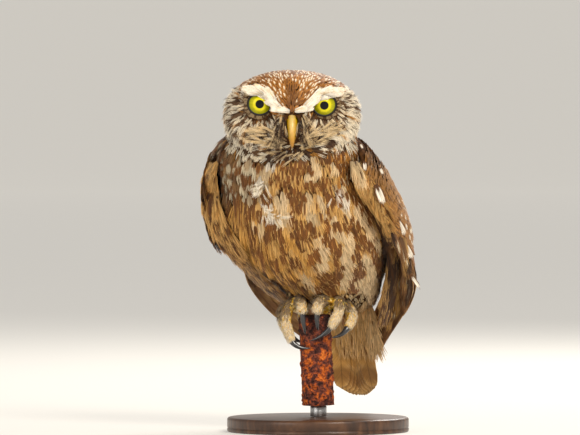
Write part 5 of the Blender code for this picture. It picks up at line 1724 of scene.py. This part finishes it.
light = maths(tree, "MULTIPLY", light, shaft)
fine = remap(tree, lines, first=0.88, last=1.1)
light = maths(tree, "MULTIPLY", light, fine)
tone = lit(tree, tone, light)
dip = add(tree, "ShaderNodeBump", {"Height": lines, "Strength": 0.3, "Distance": 0.0002})
surface(tree, {"Base Color": tone, "Roughness": 0.55, "Specular IOR Level": 0.35, "Normal": dip, "Sheen Weight": 0.1})
print("vane material has", len(tree.nodes), "nodes")

# %% [markdown]
# ## The wings
# From outside in, a wing shows small lesser coverts at the shoulder, then median and greater coverts, then
# the secondaries and the long primaries that reach the tail. On the little owl they are earth brown, with
# white drops on the coverts and pale bars on the flight feathers. The stiff ones are vanes on the sheet.
# The small soft ones come after them, as tufts.

# %% Wing feathers
TIERS = {
    "primary": (7, ((0.36, 0.93), (0.46, 0.66)), ((0.90, 0.86), (1.0, 0.22)), 11.5, -3.7, 0.035),
    "secondary": (8, ((0.34, 0.86), (0.30, 0.16)), ((0.80, 0.84), (0.67, 0.16)), 14.0, -2.5, 0.0),
    "greater_covert": (9, ((0.24, 0.94), (0.22, 0.16)), ((0.55, 0.94), (0.50, 0.14)), 12.0, -1.6, 0.0),
}


def wing_paint(name, tier, t, luck):
    """One wing feather's ground colour, and how far inside a white or dark mark each point is."""
    seen_wing = name == "left"

    def paint(across, from_tip, share, points):
        columns, rows = picture_of(points.reshape(-1, 3))
        columns, rows = columns.reshape(across.shape), rows.reshape(across.shape)
        ground = blend_tone(("rust", 0.9), ("brown", 0.7 + 0.5 * luck), ("dusk", 0.3))
        ground = np.broadcast_to(ground, (*across.shape, 4)).copy()
        white, dark = np.full(across.shape, -2.0), np.full(across.shape, -1.0)
        if tier in ("primary", "secondary"):
            ground = ground * 0.72 + 0.28 * blend_tone(("dusk", 1))
            pitch = 11.0 if tier == "primary" else 9.0
            bars = np.cos(2 * np.pi * (from_tip - 5.5) / pitch)
            pale = blend_tone(("sand", 1), ("buff", 0.6))
            amount = (np.clip((bars - 0.45) * 2.5, 0, 1) * np.clip(np.abs(share) * 2 - 0.3, 0, 1) * 0.75)[..., None]
            ground = ground * (1 - amount) + pale * amount
        else:
            outer = (0.28 if seen_wing else -0.28) * 6
            drop = 1 - np.hypot((across - outer) / 1.5, (from_tip - 4.6) / 2.9)
            if not seen_wing and luck < 0.8 or seen_wing and t > 0.55 and luck < 0.85:
                white = np.maximum(white, drop)
        rim = np.clip((0.9 - from_tip) / 0.9, 0, 1) * 0.5 + np.clip((np.abs(share) - 0.86) * 5, 0, 1) * 0.35
        ground = ground * (1 - rim[..., None]) + blend_tone(("buff", 1), ("sand", 0.5)) * rim[..., None]
        if seen_wing:
            shade = np.clip((rows - 236) / 30, 0, 1) * np.clip((398 - columns) / 10, 0, 1)
            ground = ground * (1 - 0.35 * shade[..., None])
        else:
            strip = (np.clip((226 - columns) / 6, 0, 1) * np.clip((236 - rows) / 14, 0, 1))[..., None] * 0.75
            ground = ground * (1 - strip) + blend_tone(("gold", 0.7), ("buff", 1)) * strip
            # Painted shade: the lower part of this wing turned duller and darker grey-brown
            lower_wing_shade = np.clip((rows - 226) / 20, 0, 1)[..., None] * 0.4
            ground = ground * (1 - lower_wing_shade) + blend_tone(("dusk", 1), ("brown", 0.5), ("grey", 0.3)) * lower_wing_shade
        return ground, white, dark
    return paint


def wing_bed(sheet):
    """A thin closed shell of flesh and down that the feathers are rooted in."""
    rows, columns = 24, 14
    u = np.linspace(0.0, 0.66, rows + 1)[:, None]
    v = np.linspace(0.03, 0.98, columns + 1)[None, :]
    bulge = np.sin(np.pi * (0.08 + 0.84 * v))
    top = np.interp(u, np.linspace(0, 0.66, 5), (-1.9, -2.3, -3.2, -4.2, -4.9)) - 0.8 * (1 - bulge)
    thick = 0.8 + bulge * np.interp(u, np.linspace(0, 0.66, 5), (4.6, 6.6, 6.0, 3.5, 1.5))
    points = np.concatenate([sheet(u + 0 * v, v + 0 * u, lift).reshape(-1, 3) for lift in (top, top - thick)])
    size, wide = (rows + 1) * (columns + 1), columns + 1
    faces = []
    for i in range(rows):
        for j in range(columns):
            a = i * wide + j
            quad = (a, a + 1, a + wide + 1, a + wide)
            faces += [quad, tuple(k + size for k in quad[::-1])]
    rim = [j for j in range(wide)] + [i * wide + columns for i in range(1, rows + 1)]
    rim += [rows * wide + j for j in range(columns - 1, -1, -1)] + [i * wide
        for i in range(rows - 1, 0, -1)]
    faces += [(b, a, a + size, b + size) for a, b in zip(rim, rim[1:] + rim[:1])]
    return points, faces


for name in ("left", "right"):
    chance.seed(41)
    sheet = sheets[name]
    # The bed wears the skin's dark brown, partly painted shade under the wing's feathers
    bed = outward(build(f"wing_bed_{name}", *wing_bed(sheet), down))
    finish_piece(bed, "plumage_brown", f"wing_{name}")
    wing = Vanes(sheet)
    for tier, (count, roots, tips, width, lift, bow) in TIERS.items():
        for i in range(count):
            t = i / (count - 1)
            root = [a + (b - a) * t for a, b in zip(*roots)]
            tip = [a + (b - a) * t for a, b in zip(*tips)]
            if bow:
                tip[0] -= 0.07 * t * t
            tip[0] += chance.uniform(-0.012, 0.012)
            wing.feather(root, tip, width, lift + 0.33 * (t - 0.5),
                wing_paint(name, tier, t, chance.random()), bow=bow)
    finish_piece(wing.piece(f"wing_feathers_{name}", vane_barbs), "plumage_brown")

# %% [markdown]
# ## The tail
# Twelve feathers make the short tail. The middle pair lies on top and hides the others from behind, and
# from the front one sees their undersides, buff-brown with a darker band before the rounded tip. Above they
# carry four or five pale bars.

# %% Tail feathers
def tail_paint(luck):
    def paint(across, from_tip, share, points):
        ground = blend_tone(("gold", 0.6), ("brown", 0.5 + 0.3 * luck), ("buff", 1.0))
        ground = np.broadcast_to(ground, (*across.shape, 4)).copy()
        bars = np.clip((np.cos(2 * np.pi * (from_tip - 3.0) / 10.0) - 0.35) * 2, 0, 1)
        amount = (bars * np.clip(np.abs(share) * 1.6 - 0.2, 0, 1) * 0.6)[..., None]
        ground = ground * (1 - amount) + blend_tone(("sand", 1), ("buff", 1)) * amount
        band = np.clip(1.6 - np.abs(from_tip - 8.5) / 4.5, 0, 1)[..., None] * 0.62
        ground = ground * (1 - band) + blend_tone(("umber", 1), ("brown", 1)) * band
        rim = np.clip((1.6 - from_tip) / 1.6, 0, 1)[..., None] * 0.6
        ground = ground * (1 - rim) + blend_tone(("sand", 1), ("buff", 1)) * rim
        return ground, np.full(across.shape, -2.0), np.full(across.shape, -1.0)
    return paint


chance.seed(43)
tail = Vanes(sheets["tail"])
for side in (-1, 1):
    for pair in range(6):
        t = pair / 5
        root = (-0.06, 0.5 + side * (0.4 + 4.0 * t) / TAIL_WIDE)
        tip = (1.03 - 5.5 * t * t / sheets["tail"].length, 0.5 + side * (0.7 + 8.2 * t) / TAIL_WIDE)
        lift = 1.5 - 0.55 * pair - (0.2 if side > 0 else 0.0)
        tail.feather(root, tip, 11.0, lift, tail_paint(chance.random()), thick=0.35, tilt=0.0, camber=0.5,
            flat=1.5)
finish_piece(tail.piece("tail_feathers", vane_barbs), "plumage_brown", "tail")

# %% [markdown]
# ## Soft coverts and the large white drops
# The shoulder and the inner wing are clothed in small soft feathers, warm brown with a paler edge. They are
# tufts of the same kind as the breast's, set in rows on the wing's sheet instead of on the skin. Each white
# drop of the photograph is one feather with one drop, which is how it is on the bird, so a drop's feather is
# rooted just far enough above its place for the drop to fall on it, and stands a little higher than the rest.

# %% Coverts
WING_DROPS = [((364.6, 166), 3.6, 6), ((380.6, 171), 3.2, 5), ((380.2, 195), 6.8, 13),
              ((401.2, 228), 6.4, 13), ((408.4, 252), 6.0, 13),
              ((402.6, 243), 3.2, 7), ((414.0, 283), 3.0, 12), ((352, 139), 2.4, 4), ((361, 146), 2.2, 4),
              ((345, 146), 2.2, 4)]
PALE_LINES = [(1.1, [(360, 132), (377, 155), (387, 171)]), (1.1, [(397, 190), (402, 204), (406, 217)])]
WING_MARGIN = [(352, 164), (357, 176), (365, 190), (377, 206), (389, 224), (394, 240)]


def on_sheet(sheet, u, v, lift):
    """Roots on a sheet, with the way out of it and the way along it."""
    at, up, ahead = sheet(u, v, lift), sheet(u, v, lift + 1.0), sheet(u + 0.02, v, lift)
    out, lie = up - at, ahead - at
    out /= np.linalg.norm(out, axis=1)[:, None]
    lie /= np.linalg.norm(lie, axis=1)[:, None]
    return at, out, lie, np.stack([0.05 + 0.9 * v, 0.05 + 0.9 * u], -1)


def covert_look(name):
    def look(p, out, lie, i):
        luck, second, third = chance.random(), chance.random(), chance.random()
        column, row = (k[0] for k in picture_of((p + lie * 6.5)[None]))
        base = blend_tone(("rust", 1.0), ("orange", 0.7 * luck), ("brown", 0.8 * second), ("buff", 0.25))
        mark, spot_at = blend_tone(("brown", 1), ("umber", 0.7)), (0.5 * second, 0.1, 0.86)
        if name == "left":
            low, top = float(ramp(row, 205, 240)), float(1 - ramp(row, 150, 172))
            base = blend_tone(("rust", 0.7), ("orange", 1.3 * luck + 1.9 * top),
                ("brown", 0.2 * second + 0.5 * low), ("buff", 0.6 + 1.2 * top * luck))
            front = out[1] < -0.35
            edge = reach_of(column, row, WING_MARGIN, 5.0) * front
            if not front and luck < 0.2:
                return (5.2, 10.5, 6.0), base, blend_tone(("white", 1), ("cream", 0.8)), (0.5, 0.5, 0.88)
            if edge > third:
                base = blend_tone(("buff", 1), ("sand", 1.0 * luck), ("gold", 0.5),
                    ("cream", 1.5 * float(row < 180)))
                spot_at = (0.3 * second if second > 0.5 else 0.0, 0.2, 0.7)
            elif front and max(reach_of(column, row, path, half) for half, path in PALE_LINES) > 0.5:
                base, spot_at = blend_tone(("cream", 1), ("white", 1)), (0.0, 0.2, 0.8)
            return (4.2, 9.6, 5.0), base, mark, (
                0.35 * second * third, 0.1, 0.86) if spot_at[0] else spot_at
        inner = float(1 - ramp(column, 214, 226)) * float(1 - ramp(row, 232, 250))
        if inner > third:
            base = blend_tone(("buff", 1), ("gold", 0.8 * luck), ("sand", 0.7))
            spot_at = (0.75, 0.4, 0.8) if second < 0.3 else (0.0, 0.2, 0.8)
        elif luck < 0.22:
            mark, spot_at = blend_tone(("white", 1), ("cream", 0.8)), (0.5, 0.5, 0.88)
        return (5.2, 10.5, 6.0), base, mark, spot_at
    return look


def drop_look(wide, tall):
    tone = blend_tone(("white", 1.0), ("cream", 0.2))
    size = (wide * STEP / 0.62, tall * STEP / 0.52, 2.5)
    return lambda p, out, lie, i: (size, blend_tone(("brown", 1), ("umber", 0.8)), tone, (0.62, 0.36, 0.92))


for name in ("left", "right"):
    chance.seed(47)
    sheet = sheets[name]
    places = []
    for k in range(24 if name == "left" else 22):
        u = -0.005 + 0.0185 * k
        across = int(sheet.arc(max(u, 0.0)) / 2.7)
        places += [(u + chance.uniform(-0.006, 0.006), (j + 0.5 * (k % 2) + chance.uniform(-0.2, 0.2)) / across)
                   for j in range(across + 1)]
    u, v = np.clip(np.array(places).T, 0.0, 1.0)
    at, out, lie, unwrap = on_sheet(sheet, u, v, 0.2 - 3.6 * u)
    parts = [coat_data(at, out, lie, unwrap, covert_look(name))]
    if name == "left":
        for (column, row), wide, tall in WING_DROPS:
            gap = np.hypot(*(a - b for a, b in zip(picture_of(at), (column, row)))) + 99 * (out[:, 1] > -0.1)
            k = [int(np.argmin(gap))]
            way = lie[k][0] * (1, 0.4, 1)
            way /= np.linalg.norm(way)
            facing = out[k][0] * 0.5 + np.array([0, -0.6, 0])
            facing -= way * (facing @ way)
            x, z = place_of(column, row)
            root = np.array([x, at[k][0][1] - 2.4, z]) - way * (tall * STEP / 0.52 * 0.64)
            place = (root[None], (facing / np.linalg.norm(facing))[None], way[None], unwrap[k])
            parts.append(coat_data(*place, drop_look(wide, tall)))
    grow_coat(f"coverts_{name}", "plumage_brown", "broad", joined_data(parts), 14, 0.12)

# %% [markdown]
# ## Plumes of the flank
# A sitting owl tucks the front edge of each folded wing into the long feathers of its flank, so there is no
# gap between wing and belly. These plumes are rooted along the gap, on a surface that bridges from the wing's
# edge to the belly, and they lie down along the wing. On the left of the picture they are golden with dark
# spots, and on the right they are streaked dark.

# %% Flank plumes
FLANKS = {
    "left": ([(354, 158), (359, 172), (367, 188), (377, 205), (385, 224), (390, 246), (391, 270), (389, 292), (386, 312)],
             (5, 7, 7.5, 7, 6, 5.5, 5.5, 6, 5)),
    "right": ([(216, 160), (212, 172), (211, 188), (213, 206), (220, 226), (233, 247), (250, 268), (268, 287), (284, 300)],
              (4, 5.5, 7.5, 9, 9, 8, 6.5, 5, 4)),
}
FLANK_SPOTS = [(3, [(211, 203), (213, 208)]), (3.4, [(212, 217), (217, 222)]),
               (3.6, [(228, 207), (231, 213)]), (3.6, [(227, 226), (234, 234)]),
               (2.4, [(219, 186), (222, 196)]), (2.2, [(209, 192), (211, 196)]),
               (3, [(240, 236), (246, 246)])]


def depth_at(column, row):
    """How far back a ray from the front first meets the solids, or nothing."""
    x, z = place_of(column, row)
    hit = front_of_bird.ray_cast(Vector((x, -200, z)), Vector((0, 1, 0)))[0]
    return hit.y if hit else None


def flank_roots(name, count, seed):
    """Roots on the bridge between a wing's edge and the belly, thicker in the middle."""
    path, halves = FLANKS[name]
    away = 1 if name == "left" else -1
    bridge = []
    for (column, row), half in zip(path, halves):
        edges = [depth_at(column + away * k * half, row) for k in (-1, -0.6, 0.6, 1)]
        known = [k for k in edges if k is not None]
        inner = next((k for k in edges[:2] if k is not None), known[0])
        outer = next((k for k in edges[:1:-1] if k is not None), known[-1])
        if bridge:
            inner = min(inner, bridge[-1][3] + 9)
        bridge.append((column, row, half, inner, min(outer, inner + 12)))
    scatter = random.Random(seed)
    where, outs, lies, unwrap = [], [], [], []
    for _ in range(count):
        place, off = scatter.random(), scatter.uniform(-1, 1)
        column, row, half, inner, outer = along(bridge, place)
        ahead = along(bridge, min(1.0, place + 0.02))
        behind = along(bridge, max(0.0, place - 0.02))
        y = inner + (outer - inner) * (0.5 + 0.5 * off) - 1.6 * (1 - off * off)
        x, z = place_of(column + away * half * off, row)
        slope = ((ahead[3] + ahead[4]) - (behind[3] + behind[4])) / 2
        lie = Vector(((ahead[0] - behind[0]) * STEP, slope, -(ahead[1] - behind[1]) * STEP)).normalized()
        across = Vector((away * 2 * half * STEP, outer - inner + 3.2 * off, 0.0)).normalized()
        out = across.cross(lie)
        out = (out if out.y < 0 else -out).normalized()
        where.append((x, y, z))
        outs.append(tuple(out))
        lies.append(tuple((lie - out * lie.dot(out)).normalized()))
        unwrap.append((0.5 + 0.45 * off, 0.05 + 0.9 * place))
    return [np.array(k) for k in (where, outs, lies, unwrap)]


def flank_look(name):
    def look(p, out, lie, i):
        luck, second, third = chance.random(), chance.random(), chance.random()
        column, row = (k[0] for k in picture_of((p + lie * 8)[None]))
        size = (3.4 + 1.2 * luck, 11.0 + 4.0 * second, 6.0)
        dark_tone = blend_tone(("umber", 1), ("brown", 1.2 * second))
        if name == "right":
            spot = max(reach_of(column, row, path, half) for half, path in FLANK_SPOTS)
            low = float(ramp(row, 222, 246))
            base = blend_tone(("buff", 1), ("gold", 0.8 * luck), ("sand", 0.8 * second),
                ("brown", 1.2 * low * third))
            if spot > 0.5 or luck < 0.14 + 0.25 * low:
                return size, blend_tone(("brown", 1), ("gold", 0.6)), dark_tone, (0.8, 0.2, 0.85)
            return size, base, dark_tone, (0.25 * low, 0.2, 0.8)
        edge = reach_of(column, row, WING_MARGIN, 6.0)
        line = reach_of(column, row, [(368, 200), (380, 224), (387, 247), (391, 271), (390, 310)], 3.4)
        if edge > third + 0.1:
            base = blend_tone(("buff", 1), ("sand", 1.2 * luck), ("gold", 0.4),
                ("cream", 2.0 * float(row < 180)))
            return size, base, dark_tone, (0.4 if luck < 0.3 else 0.0, 0.3, 0.7)
        if line > third:
            return size, blend_tone(("black", 1), ("umber", 1)), dark_tone, (0.4, 0.1, 0.8)
        base = blend_tone(("buff", 1), ("gold", 0.6), ("brown", 0.6 * second), ("sand", 0.6 * luck))
        return size, base, dark_tone, (0.8 if luck < 0.6 else 0.25, 0.1, 0.92)
    return look


for name, count in (("left", 620), ("right", 560)):
    data = coat_data(*flank_roots(name, count, 57), flank_look(name))
    grow_coat(f"flank_plumes_{name}", "plumage_buff", "loose", data, 15, 0.12)


# %% [markdown]
# ## Under the tail
# Long soft coverts, plain golden buff, hide the roots of the tail feathers and fill the corner between the
# legs, the belly and the wing tip. They are rooted on the front of the tail's solid and lie down along it.

# %% Coverts under the tail
def under_tail_look(p, out, lie, i):
    luck, second = chance.random(), chance.random()
    column, row = (k[0] for k in picture_of((p + lie * 8)[None]))
    low, edge = float(ramp(row, 318, 350)), float(ramp(column, 368, 378))
    base = blend_tone(("gold", 0.8), ("buff", 0.8), ("sand", 0.9 * luck),
        ("cream", 0.8 * second + 0.8 * edge), ("brown", 0.7 * low * luck))
    return (4.4 + luck, 12.0 + 3.0 * second, 6.0), base, blend_tone(("brown", 1)), (
        0.3 if luck < 0.16 else 0.0, 0.4, 0.8)


scatter = random.Random(63)
places = [(scatter.uniform(-0.30, 0.42), scatter.random()) for _ in range(460)]
u, v = np.array([(u, 0.38 + 0.40 * v + 0.05 * u) for u, v in places]).T
at, out, lie, unwrap = on_sheet(sheets["tail"], u, v, -2.4 - 2.6 * (0.42 - u))
unwrap = np.stack([v, 0.4 + 0.8 * u], -1)
grow_coat("under_tail_coverts", "plumage_buff", "loose", coat_data(at, -out, lie, unwrap, under_tail_look),
    16, 0.14)

# %% [markdown]
# ## Edges of the long feathers
# Between the belly and the outline of the wing one looks along the edges of the folded primaries: narrow
# bands, brown, gold and nearly black, that run straight down. They are thin long plumes on the wing's solid.

# %% Edges of the primaries
EDGES = [([(388, 228), (395, 252), (396, 276), (392, 300), (385, 324)], (4, 6, 7, 8, 7), 240),
    ([(402, 232), (407, 262), (404, 290)], (4, 5, 6), 90)]


def edge_look(p, out, lie, i):
    luck, second = chance.random(), chance.random()
    column, row = (k[0] for k in picture_of((p + lie * 8)[None]))
    band = noise.noise(Vector((column * 0.32, row * 0.012, 7.0)))
    base = blend_tone(("brown", 1), ("dusk", 0.8), ("rust", 0.4 * luck))
    if band > 0.12:
        base = blend_tone(("buff", 1), ("gold", 0.6 * luck), ("dusk", 0.5))
    elif band < -0.2:
        base = blend_tone(("black", 1), ("umber", 0.8))
    return (2.2, 13.0 + 4.0 * second, 2.5), base, blend_tone(("cream", 1)), (
        0.5 if luck < 0.06 else 0.0, 0.5, 0.8)


parts = [stroke_roots(path, halves, count, (0.2, 1.2), 67 + k, 0.0)[0]
    for k, (path, halves, count) in enumerate(EDGES)]
grow_coat("primary_edges", "plumage_brown", "loose", coat_data(*joined(parts), edge_look), 27, 0.05)

# %% [markdown]
# ## The feet
# Four toes of each foot wrap over the cut end of the rod. Their skin is cream-yellow with scaly rings and
# dark specks, and sparse white bristles grow on top of it. Each toe is a tube through the same path as its
# solid, swollen at its joints. The four and the sole are joined by a fine voxel remesh, because real toes
# grow out of one foot with no seam.

# %% Feet
TOES = {
    "right": [[(-8.5, 3, 7), (-8.5, 9.0, 6.0), (-6.8, 13.2, 1.5), (-5.5, 12.9, -5.0)],
              [(-8.0, -1, 7), (-7.8, -7.5, 7.0), (-6.9, -12.4, 5.4), (-6.6, -13.4, 2.4)],
              [(-9.5, -1, 6.5), (-14.2, -4.2, 4.6), (-15.6, -8.2, -3.4), (-13.2, -11.4, -13.0)],
              [(-9.5, 3, 6.5), (-15.5, 5.2, 4.2), (-17.4, 8.2, -2.6), (-14.4, 11.0, -9.4)]],
    "left": [[(9.0, 3, 7), (8.8, 9.0, 6.0), (6.4, 13.2, 1.5), (4.8, 12.9, -4.6)],
             [(8.0, -1, 7.5), (4.8, -7.5, 7.8), (2.2, -12.6, 5.4), (1.5, -13.4, 2.0)],
             [(10.0, -1, 7), (13.8, -7.0, 6.2), (13.0, -12.8, 1.0), (9.2, -14.4, -6.0)],
             [(10.5, 1, 6.5), (17.2, -2.0, 4.2), (20.6, -7.0, -1.0), (18.2, -11.6, -7.0)]],
}
CLAWS = {
    "right": [[(-5.2, 12.5, -6.6), (-4.0, 13.0, -11.5), (-3.0, 10.9, -15.5)],
              [(-6.5, -13.5, 0.9), (-6.4, -14.6, -5.2), (-5.2, -11.8, -10.2)],
              [(-12.4, -12.0, -14.4), (-9.4, -13.4, -18.4), (-2.6, -12.0, -17.6)],
              [(-13.6, 11.6, -10.8), (-11.2, 13.0, -14.6), (-6.4, 11.6, -15.4)]],
    "left": [[(4.5, 12.5, -6.2), (3.6, 13.0, -11.0), (2.4, 10.9, -14.6)],
             [(1.4, -13.4, 0.5), (1.1, -14.6, -4.6), (1.6, -11.9, -8.6)],
             [(8.0, -14.6, -7.4), (3.6, -15.2, -12.2), (-3.0, -13.2, -13.6)],
             [(17.3, -12.6, -8.2), (14.8, -15.0, -12.0), (9.0, -13.6, -12.4)]],
}
DIGITS = ("hallux", "inner", "middle", "outer")
TOE_ROWS, TOE_SIDES, CLAW_ROWS, CLAW_SIDES = 40, 24, 28, 20


def tube(centres, radii, sides):
    """Rings of a tube through centres, carried along without twist."""
    rings, across = [], None
    for i, centre in enumerate(centres):
        ahead = (centres[min(i + 1, len(centres) - 1)] - centres[max(i - 1, 0)]).normalized()
        across = ahead.orthogonal() if across is None else across
        across = (across - ahead * across.dot(ahead)).normalized()
        up = ahead.cross(across)
        rings.append([centre + across * radii[i] * math.cos(2 * math.pi * k / sides)
                      + up * radii[i] * math.sin(2 * math.pi * k / sides) for k in range(sides)])
    return rings


# Scaly toe skin: pale yellow horn plates with brown specks between them, dry and slightly glossy
toe_scales, tree = new_material("scaly_toe_skin")
place = add(tree, "ShaderNodeTexCoord", out="Object")
plates = add(tree, "ShaderNodeTexVoronoi", {"Vector": place, "Scale": 850.0}, out="Distance")
specks = add(tree, "ShaderNodeTexNoise", {"Vector": place, "Scale": 520.0, "Detail": 5.0, "Roughness": 0.6})
tone = add(tree, "ShaderNodeValToRGB", {"Fac": specks}, stops=[
    (0.33, "#4a3212"), (0.40, "#b4841c"), (0.50, "#e6b836"), (0.60, "#f2da90"), (0.70, "#fbf2d2")])
light = remap(tree, plates, high=0.55, first=0.78, last=1.12)
tone = lit(tree, tone, light)
dip = add(tree, "ShaderNodeBump", {"Height": plates, "Strength": 0.6, "Distance": 0.0004})
surface(tree, {"Base Color": tone, "Roughness": 0.45, "Normal": dip, "Subsurface Weight": 0.1, "Subsurface Scale": 0.001})

# Claw horn: black-grey keratin, polished by use, with a long soft highlight
claw_horn, tree = new_material("dark_claw_horn")
place = add(tree, "ShaderNodeTexCoord", out="Object")
grain = add(tree, "ShaderNodeTexNoise", {"Vector": place, "Scale": 900.0, "Detail": 3.0})
tone = add(tree, "ShaderNodeValToRGB", {"Fac": grain}, stops=[(0.35, "#0c0c0e"), (0.7, "#26262a")])
surface(tree, {"Base Color": tone, "Roughness": 0.3, "Coat Weight": 0.8, "Coat Roughness": 0.12})

toe_feet = {}
for name, side in (("right", -1), ("left", 1)):
    pieces = []
    for path in TOES[name]:
        centres = [Vector(along([tuple(rod_point(*p)) for p in path], t))
            for t in np.linspace(0, 1, TOE_ROWS)]
        radii = [along([(3.7,), (3.3,), (2.9,), (2.4,)], t)[0] * (1 + 0.07 * math.sin(t * 17) + 0.018 * math.sin(t * 120))
                 for t in np.linspace(0, 1, TOE_ROWS)]
        radii[0] *= 0.8
        centres.append(centres[-1] + (centres[-1] - centres[-2]).normalized() * 0.7)
        radii.append(radii[-1] * 0.62)
        pieces.append(loft_rings("toe", tube(centres, radii, TOE_SIDES), toe_scales))
    sole = rod_point(side * 9.2, 1.0, 6.0)
    rings = [[sole + Vector((5.6 * math.sin(a) * math.cos(b), 5.6 * math.sin(a) * math.sin(b), 4.4 * math.cos(a)))
              for b in np.linspace(0, 2 * math.pi, TOE_SIDES, endpoint=False)]
              for a in np.linspace(0.15, math.pi - 0.15, 14)]
    pieces.append(loft_rings("sole", rings, toe_scales))
    whole = bmesh.new()
    for piece in pieces:
        whole.from_mesh(piece.data)
        bpy.data.objects.remove(piece)
    mesh = bpy.data.meshes.new("foot")
    whole.to_mesh(mesh)
    whole.free()
    mesh.materials.append(toe_scales)
    foot = bpy.data.objects.new("foot", mesh)
    bpy.context.scene.collection.objects.link(foot)
    join = foot.modifiers.new("join", "REMESH")
    join.mode, join.voxel_size, join.use_smooth_shade = "VOXEL", 0.42 * MM, True
    soften = foot.modifiers.new("soften", "SMOOTH")
    soften.factor, soften.iterations = 0.5, 3
    foot = baked(foot, f"scaly_foot_{name}")
    foot.data.shade_smooth()
    finish_piece(foot, "toe_skin", f"foot_{name}")
    toe_feet[name] = foot
    for digit, path in zip(DIGITS, CLAWS[name]):
        start, bend, tip = (rod_point(*p) for p in path)
        start = start - (bend - start).normalized() * 0.8
        places = np.linspace(0, 1, CLAW_ROWS)
        centres = [start * (1 - t) ** 2 + bend * 2 * t * (1 - t) + tip * t * t for t in places]
        radii = [1.62 * (1 - t) ** 0.72 + 0.12 for t in places]
        claw = loft_rings(f"claw_horn_{name}_{digit}", tube(centres, radii, CLAW_SIDES), claw_horn)
        finish_piece(claw, "claw_horn", f"claw_{name}_{digit}")

# %% [markdown]
# ## Bristles on the toes
# Instead of the down that covers an eagle owl's feet, the little owl has short stiff bristles. They lie
# along each toe towards the claw. The tree that grew the coat grows them too: close fur of the face's tuft
# on the upper part of a toe, and sparse three-barbed wisps on the bare part.

# %% Toe bristles
chance = random.Random(61)
toe_lines = [(Vector(rod_point(*a)), Vector(rod_point(*b))) for name in TOES for path in TOES[name]
    for a, b in zip(path, path[1:])]


def toe_way(p):
    """The direction along the nearest toe, and how far down the toe that is."""
    best, way, down_toe = 1e9, Vector((0, 0, -1)), 0.0
    for k, (a, b) in enumerate(toe_lines):
        t = min(1.0, max(0.0, (Vector(p) - a).dot(b - a) / (b - a).length_squared))
        gap = (Vector(p) - a - (b - a) * t).length
        if gap < best:
            best, way, down_toe = gap, (b - a).normalized(), (k % 3 + t) / 3
    return way, down_toe


def toe_bristle_look(fur):
    def look(p, out, lie, i):
        luck, bare = chance.random(), float(ramp(down_toe[i], 0.42, 0.66))
        if luck < (bare * 1.1 if fur else 1 - bare):
            return None
        if fur:
            base = blend_tone(("dusk", 1), ("umber", 0.5), ("grey", luck), ("sand", 0.4 * luck))
            return (1.3, 3.0 + 2.0 * luck, 3.0), base, base, (0.0, 0.1, 0.2)
        base = blend_tone(("cream", 1), ("sand", 0.8 * luck), ("white", 0.5))
        return (1.6, 2.4 + luck, 2.6), base, base, (0.0, 0.1, 0.2)
    return look


for name, foot in toe_feet.items():
    where, out = roots_on(foot, 0.8, 17)
    rod_out = (where - np.array(ROD_TOP)) * (1, 1, 0)
    keep = (out * rod_out).sum(1) + 6 * out[:, 2] > -1.0
    where, out = where[keep], out[keep]
    ways, down_toe = zip(*(toe_way(p) for p in where))
    ways = np.array(ways)
    ways = ways - out * (ways * out).sum(1)[:, None]
    ways /= np.linalg.norm(ways, axis=1)[:, None]
    unwrap = np.stack([0.5 + (where[:, 0] + out[:, 0] * 4) / 60, 0.5 + (where[:, 1] - where[:, 2] - 40) / 80], -1) % 1.0
    for kind, fur in (("fur", True), ("bristles", False)):
        data = coat_data(where, out, ways, unwrap, toe_bristle_look(fur))
        grow_coat(f"toe_{kind}_{name}", "plumage_face" if fur else "toe_skin", "face" if fur else "wisp",
            data, 19, 0.25)

# %% [markdown]
# ## Last: clear away the tools
# The single tufts that Geometry Nodes copied from aren't part of the bird, so they go.

# %% Finish
for three in TUFTS.values():
    for one in three:
        bpy.data.objects.remove(one)
